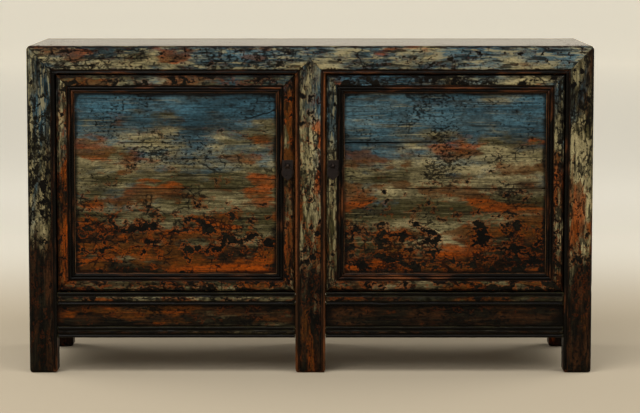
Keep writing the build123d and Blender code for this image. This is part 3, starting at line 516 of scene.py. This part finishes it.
def finely_cut(member):
    """Mesh of a member, merged, cut into short lengths and marked for wear and finish."""
    wear = settings().wear
    bm = bmesh.new()
    bm.from_mesh(frame["nodes"][member.node].data)
    bmesh.ops.remove_doubles(bm, verts=bm.verts[:], dist=MERGE)
    bmesh.ops.dissolve_limit(bm, angle_limit=FLAT_ANGLE, verts=bm.verts[:], edges=bm.edges[:])
    low, high = box_of(member.node)
    coarse = 1.0
    for axis in sorted(range(3), key=lambda index: index == member.grain):
        if axis == member.grain:
            places = spaced(low[axis], high[axis], wear.pitch * member.pitch * coarse)
        elif member.margin and axis == Z:
            places = spaced(low[axis], high[axis], wear.panel_pitch * member.pitch * coarse)
        else:
            places = edge_lines(low[axis], high[axis], wear.across_pitch * member.pitch * coarse)
        if axis == Z:
            places += [height + side * JOINT_CUT for height in member.joints for side in (-1, 1)]
        cut_across(bm, axis, places)
    bm.normal_update()
    bm.verts.index_update()
    arrises = [edge for edge in bm.edges if is_sharp(edge, 1)]
    mitres = [edge for edge in arrises if any(is_mitre(face) for face in edge.link_faces)]
    in_mitre = set(mitres)
    convex = closeness(bm, [edge for edge in arrises if edge not in in_mitre], wear.reach)
    mitred = closeness(bm, mitres, wear.reach)
    concave = closeness(bm, [e for e in bm.edges if is_sharp(e, -1)], wear.reach)
    layers = {label: bm.verts.layers.float.new(label) for label in ("arris", "hollow", "joint")}
    for vert in bm.verts:
        # dirt and painted shade: along a panel's margins, or in the concave corners of other
        # members
        dirt_and_shade = panel_dirt_and_shade(vert.co, member.margin) if member.margin else concave[vert.index]
        to_joint = min((abs(vert.co.z - height) for height in member.joints), default=1.0)
        worn = (convex[vert.index], mitred[vert.index] * MITRE_WEAR, outer_wear(vert.co))
        vert[layers["arris"]] = max(worn)
        vert[layers["hollow"]] = dirt_and_shade
        vert[layers["joint"]] = max(0.0, 1.0 - to_joint / JOINT_REACH)
    skin = bm.faces.layers.int.new("skin")
    for face in bm.faces:
        face[skin] = skin_of(face, member)
    mesh = bpy.data.meshes.new(member.node)
    bm.to_mesh(mesh)
    bm.free()
    return mesh


NODE_BODY = {
    node: body for body, nodes in frame["record"]["behaviour"]["bodies"].items() for node in nodes
}


def new_object(name, data):
    """An object in the scene, at the origin."""
    thing = bpy.data.objects.new(name, data)
    bpy.context.scene.collection.objects.link(thing)
    return thing


def stand_for(piece, node):
    """Let a piece stand for a CAD node: its body and its place."""
    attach(piece, NODE_BODY[node])
    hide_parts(node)


def dress(member):
    """Make the worn copy of a member and let it stand for its CAD node."""
    wear = settings().wear
    rough = new_object(f"{member.node}_worn", finely_cut(member))
    modifier = rough.modifiers.new("Wear", "NODES")
    modifier.node_group = built("Worn timber", wear_tree)
    values = {
        "Stretch": STRETCH[member.grain],
        "Seed": wear.seed + sorted(NODE_BODY).index(member.node),
        "Ripple": wear.ripple * member.wear,
        "Dents": wear.dents * member.wear,
        "Arris Loss": wear.arris * member.wear,
        "Joint Depth": wear.joint,
        "Joint Fill": wear.fill,
        "Face Finish": finish_of(member.face, member.grain),
        "Moulding Finish": finish_of(member.moulding, member.grain),
        "Inside Finish": finish_of("bare_timber", member.grain),
        "Top Finish": finish_of("top_lacquer", member.grain),
    }
    for item in modifier.node_group.interface.items_tree:
        if item.in_out == "INPUT" and item.name in values:
            modifier[item.identifier] = values[item.name]
    rough.update_tag()
    seen = rough.evaluated_get(bpy.context.evaluated_depsgraph_get())
    plain = bpy.data.meshes.new_from_object(seen)
    rough.modifiers.remove(modifier)
    rough.data = plain
    plain.shade_smooth()
    plain.set_sharp_from_angle(angle=SHARP_ANGLE)
    stand_for(rough, member.node)


# --- shader groups ---
LACQUER_INPUTS = {
    "Vector": ("Place", "Stretch"),
    "Float": ("Blue", "Cream", "Orange", "Loss", "Flake Scale", "Furrows", "Dirt", "Arris"),
}
PLAIN_INPUTS = {
    "Vector": ("Place", "Stretch"), "Color": ("Ground", "Crest"),
    "Float": ("Share", "Line Depth", "Dirt", "Arris"),
}
SURFACE_OUTPUTS = {"Color": ("Color",), "Float": ("Roughness", "Height")}


def lacquer_group(name):
    """Layers of colour on a dark ground, with grain, furrows, flaking, cracks, dirt and painted
    shade.
    """
    bench, given, result = new_group(name, "ShaderNodeTree", LACQUER_INPUTS, SURFACE_OUTPUTS)
    mix, band, times, scaled, plus = bench.mix, bench.band, bench.times, bench.scaled, bench.plus
    paint = settings().finish
    place = given["Place"]
    grain = bench.vector("MULTIPLY", place, given["Stretch"])
    fine = bench.vector("MULTIPLY", grain, given["Stretch"])
    flaky = bench.vector("ADD", grain, place)

    def leaning(vector, other, share):
        """A vector plus a share of another."""
        return bench.vector("ADD", vector, bench.vector("MULTIPLY", other, (share,) * 3))

    def noise(vector, step, scale, detail, roughness=0.6, distortion=0.0):
        """Cloudy noise, each with a step aside of its own."""
        aside = bench.vector("ADD", vector, (step, step * 0.7, step * 1.3))
        return bench.noise(aside, scale, detail, roughness, distortion)

    def cover(amount, value, softness):
        """Mask of a layer that is left on a share of the surface."""
        threshold = scaled(amount, -0.30, 0.65)
        low = bench.math("SUBTRACT", threshold, softness)
        left = band(value, low, plus(threshold, softness))
        return times(left, band(amount, 0.0, 0.1))

    def streaks(step, scale, roughness=0.66):
        """Streaks along the grain."""
        return noise(grain, step, scale, 9.0, roughness)

    tone = streaks(3.7, 40.0)
    cloud = noise(flaky, 5.1, 6.0, 4.0)
    ground = mix(band(tone, 0.42, 0.62), paint.black, paint.brown)
    thick = times(band(given["Cream"], 0.84, 1.0), 0.13)
    cream_tone = plus(streaks(1.9, 20.0, 0.70), thick)
    cream = mix(band(cream_tone, 0.42, 0.68), paint.olive, paint.cream)
    blue = mix(band(streaks(2.3, 17.0, 0.70), 0.40, 0.66), paint.teal, paint.blue)
    orange = mix(band(streaks(6.1, 18.0, 0.72), 0.47, 0.62), paint.rust, paint.orange)
    smudge = leaning(grain, place, 0.25)
    cream_left = cover(given["Cream"], streaks(7.3, 15.0, 0.70), 0.10)
    blue_left = cover(given["Blue"], noise(smudge, 9.9, 11.0, 9.0, 0.68), 0.10)
    orange_left = cover(given["Orange"], noise(smudge, 12.7, 15.0, 9.0, 0.53), 0.03)
    colour = mix(cream_left, ground, cream)
    colour = mix(blue_left, colour, blue, 0.9)
    density = scaled(given["Orange"], 0.6, 0.60)
    colour = mix(orange_left, colour, orange, density)

    # grey film, grit, grain lines and furrows
    film = band(noise(smudge, 31.0, 26.0, 9.0, 0.76), 0.46, 0.62)
    film = times(film, scaled(given["Cream"], -0.60, 0.98))
    colour = mix(film, colour, paint.slate)
    grit = noise(flaky, 33.0, times(given["Flake Scale"], 4.0), 6.0, 0.75)
    shade = scaled(band(grit, 0.36, 0.64), 0.7, 0.66)
    colour = bench.vector("MULTIPLY", colour, shade)
    dark_lines = band(noise(fine, 4.2, 330.0, 5.0), 0.52, 0.64)
    pale_lines = band(noise(fine, 8.8, 380.0, 4.0), 0.56, 0.68)
    colour = mix(dark_lines, colour, paint.black, 0.65)
    cream_shown = bench.math("MAXIMUM", bench.math("SUBTRACT", cream_left, orange_left), 0.0)
    pale = times(pale_lines, scaled(cream_shown, 0.36, 0.03))
    colour = mix(pale, colour, paint.cream)
    furrow_noise = noise(grain, 37.0, 105.0, 3.0, 0.55, 0.3)
    furrows = times(band(furrow_noise, 0.555, 0.60), given["Furrows"])
    ridges = times(band(furrow_noise, 0.45, 0.40), given["Furrows"])
    colour = mix(times(ridges, cream_shown), colour, paint.cream, 0.5)
    colour = mix(furrows, colour, paint.black, 0.8)

    # flakes that have come off, with a fringe of orange
    chip = leaning(place, grain, 0.5)
    flake_noise = noise(chip, 15.0, given["Flake Scale"], 12.0, 0.68, 0.2)
    flakes = cover(given["Loss"], flake_noise, 0.006)
    fringe_reach = plus(given["Loss"], 0.13)
    fringe = bench.math("SUBTRACT", cover(fringe_reach, flake_noise, 0.006), flakes)
    fringe = times(fringe, scaled(given["Orange"], 0.9, -0.05))
    loss_colour = mix(band(cloud, 0.40, 0.60), paint.black, paint.slate)
    colour = mix(bench.math("MAXIMUM", fringe, 0.0), colour, paint.orange)
    colour = mix(flakes, colour, loss_colour)

    # cracks, checks along the grain and specks
    wandering = {"Vector": place, "Scale": 45.0, "Detail": 5.0}
    wander = bench.put("ShaderNodeTexNoise", wandering).outputs["Color"]
    bent = leaning(flaky, wander, 0.06)
    crack_place = scaled(given["Loss"], 0.5, noise(place, 2.0, 10.0, 3.0))
    crack_here = band(crack_place, 0.62, 0.72)
    cracks = times(band(bench.cells(bent, 20.0), 0.075, 0.03), crack_here)
    long_bent = leaning(grain, wander, 0.006)
    check_here = band(noise(grain, 19.0, 9.0, 2.0), 0.56, 0.64)
    checks = times(band(bench.cells(long_bent, 20.0), 0.022, 0.008), check_here)
    speck_place = noise(place, 21.0, 9.0, 2.0)
    speck_noise = noise(flaky, 23.0, 85.0, 4.0, 0.6)
    speck_value = scaled(speck_place, 0.5, speck_noise)
    specks = band(speck_value, 0.835, 0.85)
    marks = bench.math("MAXIMUM", bench.math("MAXIMUM", cracks, checks), specks)
    colour = mix(marks, colour, paint.black, 0.85)

    # dirt and painted shade in the corners, margins and open joints, and rubbed arrises
    smear = scaled(cloud, 1.8, -0.9)
    dirt_and_shade = band(plus(given["Dirt"], smear), 0.30, 1.0)
    colour = mix(dirt_and_shade, colour, paint.black, 0.9)
    chipping = scaled(noise(flaky, 27.0, 40.0, 4.0), 1.6, -0.8)
    rubbed = band(plus(given["Arris"], chipping), 0.58, 0.88)
    colour = mix(rubbed, colour, paint.black, 0.88)

    bench.feed(result["Color"], colour)
    roughness = scaled(tone, 0.26, 0.30)
    bench.feed(result["Roughness"], scaled(flakes, 0.12, roughness))
    relief = scaled(flakes, -0.7, times(cream_left, 0.25))
    relief = scaled(marks, -0.8, relief)
    relief = scaled(dark_lines, -0.25, relief)
    relief = scaled(furrows, -0.5, relief)
    bench.feed(result["Height"], relief)


def streaked_group(name):
    """A plain finish with streaks of a second colour, grain lines, specks, dirt and painted shade.
    """
    bench, given, result = new_group(name, "ShaderNodeTree", PLAIN_INPUTS, SURFACE_OUTPUTS)
    mix, band, times, scaled, plus = bench.mix, bench.band, bench.times, bench.scaled, bench.plus
    place = given["Place"]
    grain = bench.vector("MULTIPLY", place, given["Stretch"])
    fine = bench.vector("MULTIPLY", grain, given["Stretch"])
    threshold = scaled(given["Share"], -0.44, 0.72)
    streaks = bench.noise(grain, 46.0, 7.0, 0.62)
    high = plus(threshold, 0.18)
    colour = mix(band(streaks, threshold, high), given["Ground"], given["Crest"])
    lines = band(bench.noise(fine, 320.0, 4.0), 0.50, 0.68)
    black = settings().finish.black
    colour = mix(lines, colour, black, given["Line Depth"])
    specks = band(bench.noise(place, 150.0, 3.0), 0.62, 0.66)
    colour = mix(specks, colour, black, 0.7)
    smear = scaled(bench.noise(place, 22.0, 3.0), 1.0, -0.5)
    # dirt and painted shade in corners, margins and open joints
    dirt_and_shade = band(plus(given["Dirt"], smear), 0.2, 0.9)
    colour = mix(dirt_and_shade, colour, black, 0.85)
    rubbed = band(plus(given["Arris"], smear), 0.6, 0.95)
    colour = mix(rubbed, colour, given["Crest"], 0.5)
    bench.feed(result["Color"], colour)
    bench.feed(result["Roughness"], scaled(streaks, 0.4, 0.16))
    relief = scaled(lines, -0.5, times(specks, -0.6))
    bench.feed(result["Height"], relief)


# --- finishes ---
DULL = 0.05                                 # reflection of old lacquer and dry wood
COAT_ROUGHNESS = 0.2
BUMP_STRENGTH = 0.7
LACQUER_RELIEF = 0.6 * MM                   # bump of the lacquer
SMALL_FLAKES, LARGE_FLAKES = 42.0, 22.0     # scales of the losses: on narrow members, on the rest

# What is left of the layers of each finish, by height from the top down. A row holds the height
# in millimetres, then the shares of blue, cream and orange and of the losses, in hundredths.
LAYERS = {
    "left_panel": (
        (730, 95, 30, 0, 2), (665, 80, 55, 2, 4), (610, 40, 70, 20, 8), (545, 28, 86, 22, 8),
        (470, 12, 84, 26, 8), (400, 2, 66, 46, 26), (345, 2, 44, 54, 44), (300, 0, 40, 60, 24),
        (264, 0, 26, 52, 24),
    ),
    "right_panel": (
        (730, 100, 40, 0, 2), (650, 90, 66, 2, 6), (590, 50, 80, 12, 10), (520, 24, 90, 10, 12),
        (465, 2, 78, 34, 10), (400, 0, 64, 30, 24), (345, 2, 50, 50, 40), (300, 0, 36, 42, 44),
        (264, 0, 16, 34, 48),
    ),
    "top_rail": ((850, 68, 93, 16, 22), (777, 64, 93, 16, 24)),
    "left_post": (
        (850, 60, 84, 0, 24), (640, 50, 74, 2, 36), (500, 30, 60, 6, 46), (400, 12, 80, 10, 38),
        (300, 2, 40, 10, 30), (220, 0, 4, 12, 20), (120, 0, 0, 22, 16), (0, 0, 0, 2, 16),
    ),
    "centre_post": (
        (850, 50, 76, 6, 28), (700, 44, 86, 26, 26), (600, 30, 93, 44, 18), (450, 8, 93, 56, 18),
        (330, 2, 50, 48, 40), (240, 0, 10, 20, 40), (160, 0, 0, 24, 24), (0, 0, 0, 6, 16),
    ),
    "right_post": (
        (850, 50, 40, 2, 32), (735, 40, 40, 2, 40), (650, 2, 99, 18, 4), (480, 0, 99, 36, 6),
        (330, 2, 64, 40, 38), (240, 0, 10, 28, 34), (150, 0, 2, 24, 20), (0, 0, 0, 6, 16),
    ),
    "left_hinge_stile": (
        (774, 40, 70, 10, 40), (640, 28, 78, 40, 28), (500, 4, 60, 64, 20), (360, 2, 56, 56, 28),
        (215, 2, 60, 46, 30),
    ),
    "left_pull_stile": (
        (774, 20, 30, 10, 60), (700, 4, 60, 80, 20), (570, 2, 64, 90, 14), (500, 4, 70, 40, 24),
        (360, 2, 50, 40, 40), (215, 0, 36, 44, 40),
    ),
    "right_pull_stile": (
        (774, 60, 66, 0, 36), (600, 50, 66, 2, 36), (500, 6, 94, 10, 14), (370, 4, 84, 24, 26),
        (215, 4, 48, 24, 38),
    ),
    "right_hinge_stile": (
        (774, 50, 76, 0, 36), (600, 40, 90, 6, 32), (500, 10, 66, 42, 36), (350, 2, 54, 46, 40),
        (215, 2, 40, 36, 40),
    ),
    "left_door_top": ((774, 36, 72, 26, 34), (727, 36, 72, 26, 34)),
    "right_door_top": ((774, 46, 76, 10, 38), (727, 46, 76, 10, 38)),
    "door_bottom": ((262, 0, 46, 50, 38), (214, 0, 46, 50, 38)),
    "lower_rail": ((212, 6, 50, 34, 32), (176, 6, 50, 34, 32)),
    "left_apron": ((177, 0, 12, 24, 10), (121, 0, 12, 24, 12)),
    "right_apron": ((177, 0, 0, 20, 10), (121, 0, 0, 16, 12)),
    "bottom_rail": ((122, 2, 18, 10, 40), (91, 2, 18, 8, 40)),
    "side_panel": (
        (794, 60, 50, 6, 34), (560, 22, 66, 26, 30), (360, 2, 36, 44, 40), (210, 0, 10, 26, 34),
        (120, 0, 2, 16, 30),
    ),
}


class Plain(NamedTuple):
    """A plain streaked finish."""

    ground: str         # names of the colours in the settings
    crest: str
    share: float        # of the surface that the second colour takes
    lines: float        # strength of the grain lines
    relief: float       # metres of bump
    coat: float = 0.0
    metallic: float = 0.0


PLAINS = {
    "dark_bead": Plain("black", "bead", 0.50, 0.45, 0.4 * MM, coat=0.06),
    "red_bead": Plain("brown", "bead", 0.72, 0.45, 0.4 * MM, coat=0.06),
    "low_bead": Plain("black", "olive", 0.24, 0.45, 0.4 * MM, coat=0.06),
    "top_lacquer": Plain("top", "brown", 0.44, 0.35, 0.02 * MM, coat=0.9),
    "bare_timber": Plain("timber", "timber_dark", 0.46, 0.45, 0.5 * MM),
    "back_timber": Plain("timber_dark", "timber", 0.40, 0.5, 0.5 * MM),
    "iron": Plain("iron", "rusty", 0.34, 0.25, 0.25 * MM, metallic=0.65),
}


def new_material(name):
    """A new node material's bench, its principled shader and the place on the piece."""
    material = bpy.data.materials.new(name)
    material.use_nodes = True
    bench = Bench(material.node_tree)
    place = bench.put("ShaderNodeTexCoord").outputs["Object"]
    return bench, material.node_tree.nodes["Principled BSDF"], place


def old_surface(bench, shader, group, relief, feeds):
    """Feed a shader group with its own values and the marks of wear, and the shader with it."""
    # the hollow mark carries dirt and painted shade in corners, margins and open joints
    for socket, mark in (("Dirt", "hollow"), ("Arris", "arris")):
        feeds[socket] = bench.put("ShaderNodeAttribute", attribute_name=mark).outputs["Fac"]
    surface = bench.put("ShaderNodeGroup", node_tree=group)
    for socket, value in feeds.items():
        bench.feed(surface.inputs[socket], value)
    bump = {"Height": surface.outputs["Height"], "Strength": BUMP_STRENGTH, "Distance": relief}
    bench.feed(shader.inputs["Base Color"], surface.outputs["Color"])
    bench.feed(shader.inputs["Roughness"], surface.outputs["Roughness"])
    bench.feed(shader.inputs["Normal"], bench.put("ShaderNodeBump", bump).outputs[0])
    shader.inputs["Specular IOR Level"].default_value = DULL


def lacquer_material(name, key, grain):
    """Layered lacquer whose layers thin out with height as the key says."""
    bench, shader, place = new_material(name)
    height = bench.put("ShaderNodeSeparateXYZ", {0: place}).outputs[Z]
    drift = bench.scaled(bench.noise(place, 5.0, 6.0, 0.62), 0.42, -0.21)
    level = bench.math("DIVIDE", bench.plus(height, drift), CASE_TOP)
    ramp = bench.put("ShaderNodeValToRGB", {0: level})
    rows = sorted(LAYERS[key])
    elements = ramp.color_ramp.elements
    while len(elements) < len(rows):
        elements.new(0.5)
    for element, (row_height, *hundredths) in zip(elements, rows):
        element.position = row_height * MM / CASE_TOP
        element.color = [share / 100 for share in hundredths]
    shares = bench.put("ShaderNodeSeparateColor", {0: ramp.outputs["Color"]}).outputs
    narrow = key.endswith(("post", "stile", "top_rail"))
    old_surface(bench, shader, built("Layered lacquer", lacquer_group), LACQUER_RELIEF, {
        "Place": place, "Stretch": STRETCH[grain], "Blue": shares[0], "Cream": shares[1],
        "Orange": shares[2], "Loss": ramp.outputs["Alpha"], "Furrows": float(narrow),
        "Flake Scale": SMALL_FLAKES if narrow else LARGE_FLAKES,
    })


def plain_material(name, key, grain):
    """A streaked finish in two colours."""
    bench, shader, place = new_material(name)
    plain = PLAINS[key]
    ground, crest = (getattr(settings().finish, colour) for colour in (plain.ground, plain.crest))
    old_surface(bench, shader, built("Streaked finish", streaked_group), plain.relief, {
        "Place": place, "Stretch": STRETCH[grain], "Ground": (*ground, 1.0), "Crest": (*crest, 1.0),
        "Share": plain.share, "Line Depth": plain.lines,
    })
    shader.inputs["Coat Weight"].default_value = plain.coat
    shader.inputs["Coat Roughness"].default_value = COAT_ROUGHNESS
    shader.inputs["Metallic"].default_value = plain.metallic


def finish_of(key, grain):
    """The material of a finish on wood whose grain runs along an axis."""
    name = f"{key}_along_{'xyz'[grain]}"
    if name not in bpy.data.materials:
        make = lacquer_material if key in LAYERS else plain_material
        make(name, key, grain)
    return bpy.data.materials[name]


# --- operators ---
class CabinetOperator:
    """What the operators of the pieces share: each dresses its members."""

    bl_options = {"REGISTER", "UNDO"}

    def execute(self, context):
        for member in self.members():
            dress(member)
        return {"FINISHED"}


class CABINET_OT_posts(CabinetOperator, bpy.types.Operator):
    """Dress the six posts"""

    bl_idname = "cabinet.posts"
    bl_label = "Posts"

    def members(self):
        for side, inner in (("left", 1), ("right", -1)):
            node = f"front_{side}_post"
            yield Member(node, Z, f"{side}_post", "dark_bead", (bead_at(node, X, inner),))
            yield Member(f"rear_{side}_post", Z, "side_panel", pitch=1.5)
        centre = "front_centre_post"
        beads = (bead_at(centre, X, -1), bead_at(centre, X, 1))
        yield Member(centre, Z, "centre_post", "red_bead", beads)
        yield Member("rear_centre_post", Z, "back_timber", pitch=1.5)


class CABINET_OT_top(CabinetOperator, bpy.types.Operator):
    """Dress the mitred top frame and its panel"""

    bl_idname = "cabinet.top"
    bl_label = "Top"

    def members(self):
        rail = "top_front_rail"
        yield Member(rail, X, "top_rail", "dark_bead", (bead_at(rail, Z, -1),))
        yield Member("top_rear_rail", X, "back_timber", pitch=1.5)
        for side in SIDES:
            yield Member(f"top_{side}_rail", Y, "side_panel")
            yield Member(f"top_{side}_batten", Y, "bare_timber", pitch=2.0)
        yield Member("top_panel", X, "top_lacquer", pitch=2.0, wear=0.4)
        yield Member("top_centre_stretcher", Y, "bare_timber", pitch=2.0)


class CABINET_OT_front_rails(CabinetOperator, bpy.types.Operator):
    """Dress the rails and aprons under the doors"""

    bl_idname = "cabinet.front_rails"
    bl_label = "Front rails"

    def members(self):
        for side in SIDES:
            for level in ("lower", "bottom"):
                node = f"front_{side}_{level}_rail"
                beads = (bead_at(node, Z, -1), bead_at(node, Z, 1))
                yield Member(node, X, f"{level}_rail", "low_bead", beads)
            node = f"front_{side}_apron"
            low, high = box_of(node)
            inset = Vector((APRON_INSET, 0, APRON_INSET))
            margin = (low + inset, high - inset, *APRON_DIRT_AND_SHADE)
            yield Member(node, X, f"{side}_apron", margin=margin, pitch=1.5)


class CABINET_OT_sides(CabinetOperator, bpy.types.Operator):
    """Dress the rails, panels and aprons of both ends"""

    bl_idname = "cabinet.sides"
    bl_label = "Sides"

    def members(self):
        for side in SIDES:
            for part in ("lower_rail", "bottom_rail", "side_panel", "side_apron"):
                yield Member(f"{side}_{part}", Y, "side_panel", pitch=1.5)


class CABINET_OT_back(CabinetOperator, bpy.types.Operator):
    """Dress the plain back"""

    bl_idname = "cabinet.back"
    bl_label = "Back"

    def members(self):
        for side in SIDES:
            for part in ("lower_rail", "panel"):
                yield Member(f"rear_{side}_{part}", X, "back_timber", pitch=2.0)


class CABINET_OT_inside(CabinetOperator, bpy.types.Operator):
    """Dress the floor boards, their bearer and the door stops"""

    bl_idname = "cabinet.inside"
    bl_label = "Inside"

    def members(self):
        yield Member("floor_bearer", Y, "bare_timber", pitch=2.0)
        for side in SIDES:
            yield Member(f"floor_{side}", Y, "bare_timber", pitch=2.0)
            yield Member(f"{side}_door_stop", Z, "bare_timber", pitch=2.0)


class CABINET_OT_doors(CabinetOperator, bpy.types.Operator):
    """Dress both doors: frame, boards and battens"""

    bl_idname = "cabinet.doors"
    bl_label = "Doors"

    def members(self):
        for side in SIDES:
            door = f"{side}_door"
            for stile in ("hinge_stile", "pull_stile"):
                yield Member(f"{door}_{stile}", Z, f"{side}_{stile}", beads=("door",))
            yield Member(f"{door}_top_rail", X, f"{side}_door_top", beads=("door",))
            yield Member(f"{door}_bottom_rail", X, "door_bottom", beads=("door",))
            low, high = door_box(side)
            inset = Vector((DOOR_MEMBER, 0, DOOR_MEMBER))
            margin = (low + inset, high - inset, *PANEL_DIRT_AND_SHADE)
            yield Member(
                f"{door}_panel", X, f"{side}_panel", margin=margin, joints=BOARD_JOINTS, pitch=0.8
            )
            for place in ("outer", "inner"):
                yield Member(f"{door}_{place}_batten", Z, "bare_timber", pitch=2.0)


class CABINET_OT_pulls(CabinetOperator, bpy.types.Operator):
    """Dress the iron plates, staples and pendants of the pulls"""

    bl_idname = "cabinet.pulls"
    bl_label = "Pulls"

    def members(self):
        for side in SIDES:
            for part in ("plate", "staple", "pendant"):
                yield Member(f"{side}_pull_{part}", X, "iron", "iron", pitch=0.3, wear=0.15)


# --- stage ---
RING_STEPS = 96
BEND_STEPS = 12
ALL_ROUND = (1.6, 5.6)          # distances over which the floor turns into the wall, painted lighter and glowing
BEHIND = (0.6, 2.6)             # the same to the rear of the cabinet
GLOW_BEHIND = (1.1, 4.6)        # where the wall begins to give light there
GLOW_IN_FRONT = (-4.0, 2.0)     # where its light fades towards the camera, down to a share
LEAST_GLOW = 0.3
BACKDROP_ROUGHNESS = 0.9
BACKDROP_PAINT_AND_GLOW = "backdrop_paint"
SKY_COLOUR = linear(245, 238, 224)
WARM = (1.0, 0.975, 0.935)
LIGHTS = (                      # name, setting of its power, size, place and target
    ("key_light", "key", (2.6, 2.2), (-1.6, -3.6, 2.9), (0, 0, 0.4)),
    ("overhead_light", "overhead", (6.0, 1.4), (0, -1.5, 3.4), (0, 0.3, 0)),
    ("fill_light", "fill", (2.4, 2.2), (2.8, -4.0, 1.8), (0, 0, 0.4)),
    ("left_light", "side", (2.0, 1.6), (-2.6, 0.9, 1.7), (-0.8, 0.4, 0)),
    ("right_light", "side", (2.0, 1.6), (2.6, 0.9, 1.7), (0.8, 0.4, 0)),
)


def backdrop():
    """A wide round floor that curves up into a wall all round."""
    stage = settings().stage
    bend_start = stage.reach - stage.bend
    profile = [(bend_start, 0.0)]
    for step in range(1, BEND_STEPS + 1):
        angle = radians(90 * step / BEND_STEPS)
        profile.append((bend_start + stage.bend * sin(angle), stage.bend * (1 - cos(angle))))
    profile.append((stage.reach, stage.wall_height))
    bm = bmesh.new()
    turns = [radians(360 * step / RING_STEPS) for step in range(RING_STEPS)]
    rings = [
        [bm.verts.new((radius * cos(turn), radius * sin(turn), height)) for turn in turns]
        for radius, height in profile
    ]
    bm.faces.new(rings[0])
    for low, high in zip(rings, rings[1:]):
        for step in range(RING_STEPS):
            bm.faces.new((low[step - 1], high[step - 1], high[step], low[step]))
    bmesh.ops.reverse_faces(bm, faces=[face for face in bm.faces if face.normal.z < 0])
    mesh = bpy.data.meshes.new("backdrop")
    bm.to_mesh(mesh)
    bm.free()
    mesh.shade_smooth()
    piece = new_object("backdrop", mesh)
    backdrop_paint()
    mesh.materials.append(bpy.data.materials[BACKDROP_PAINT_AND_GLOW])


def backdrop_paint():
    """Paint of the floor near the cabinet, painted lighter further off as painted light, and a far
    wall that glows.
    """
    stage = settings().stage
    bench, shader, place = new_material(BACKDROP_PAINT_AND_GLOW)
    along = bench.put("ShaderNodeSeparateXYZ", {0: place}).outputs[Y]
    distance = bench.put("ShaderNodeVectorMath", {0: place}, operation="LENGTH").outputs["Value"]
    outer = bench.band(distance, *ALL_ROUND)
    # painted light: the floor colour turns into the lighter wall colour further off, standing in
    # for brighter light there
    far = bench.math("MAXIMUM", bench.band(along, *BEHIND), outer)
    bright = bench.math("MAXIMUM", bench.band(along, *GLOW_BEHIND), outer)
    lit = bench.scaled(bench.band(along, *GLOW_IN_FRONT), 1.0 - LEAST_GLOW, LEAST_GLOW)
    bench.feed(shader.inputs["Base Color"], bench.mix(far, stage.floor, stage.wall))
    # the far backdrop glows although it is no lamp, and more weakly towards the camera
    glow = bench.mix(bright, (0.0, 0.0, 0.0), stage.wall, lit)
    bench.feed(shader.inputs["Emission Color"], glow)
    shader.inputs["Emission Strength"].default_value = stage.glow
    shader.inputs["Roughness"].default_value = BACKDROP_ROUGHNESS


def area_light(name, power, size, place, target):
    """A soft rectangular light that faces a point, unseen by the camera."""
    light = bpy.data.lights.new(name, "AREA")
    light.energy = getattr(settings().stage, power)
    light.shape = "RECTANGLE"
    light.size, light.size_y = size
    light.color = WARM
    lamp = new_object(name, light)
    lamp.location = place
    lamp.rotation_euler = (Vector(target) - Vector(place)).to_track_quat("-Z", "Y").to_euler()
    lamp.visible_camera = False
    lamp.visible_glossy = power != "side"


class CABINET_OT_stage(bpy.types.Operator):
    """Set the backdrop, lights and camera"""

    bl_idname = "cabinet.stage"
    bl_label = "Stage"
    bl_options = {"REGISTER", "UNDO"}

    def execute(self, context):
        stage = settings().stage
        backdrop()
        for light in LIGHTS:
            area_light(*light)
        world = bpy.data.worlds.new("soft_room")
        world.use_nodes = True
        background = world.node_tree.nodes["Background"]
        background.inputs["Color"].default_value = (*SKY_COLOUR, 1.0)
        background.inputs["Strength"].default_value = stage.sky
        context.scene.world = world
        context.scene.view_settings.view_transform = "Standard"
        camera = bpy.data.cameras.new("camera")
        camera.lens = stage.lens
        camera.shift_y = stage.shift
        viewer = new_object("camera", camera)
        viewer.location = (stage.camera_x, stage.camera_y, stage.camera_z)
        viewer.rotation_euler = (radians(90) - stage.pitch, 0.0, 0.0)
        context.scene.camera = viewer
        return {"FINISHED"}


OPERATORS = (
    CABINET_OT_posts, CABINET_OT_top, CABINET_OT_front_rails, CABINET_OT_sides, CABINET_OT_back,
    CABINET_OT_inside, CABINET_OT_doors, CABINET_OT_pulls, CABINET_OT_stage,
)


class CABINET_PT_panel(bpy.types.Panel):
    """Lists the steps that dress the cabinet, and its settings"""

    bl_idname = "CABINET_PT_panel"
    bl_label = "Kang Cabinet"
    bl_space_type = "VIEW_3D"
    bl_region_type = "UI"
    bl_category = "Cabinet"

    def draw(self, context):
        for operator in OPERATORS:
            self.layout.operator(operator.bl_idname)
        for group in (settings().wear, settings().finish, settings().stage):
            for label in type(group).__annotations__:
                self.layout.prop(group, label)


CLASSES = (CabinetWear, CabinetFinish, CabinetStage, CabinetSettings, *OPERATORS, CABINET_PT_panel)


def register():
    for cls in CLASSES:
        bpy.utils.register_class(cls)
    bpy.types.Scene.kang_cabinet = PointerProperty(type=CabinetSettings)


def unregister():
    del bpy.types.Scene.kang_cabinet
    for cls in reversed(CLASSES):
        bpy.utils.unregister_class(cls)


def main():
    """Dress the whole cabinet."""
    register()
    for operator in OPERATORS:
        group, step = operator.bl_idname.split(".")
        getattr(getattr(bpy.ops, group), step)()


if __name__ == "__main__":
    main()
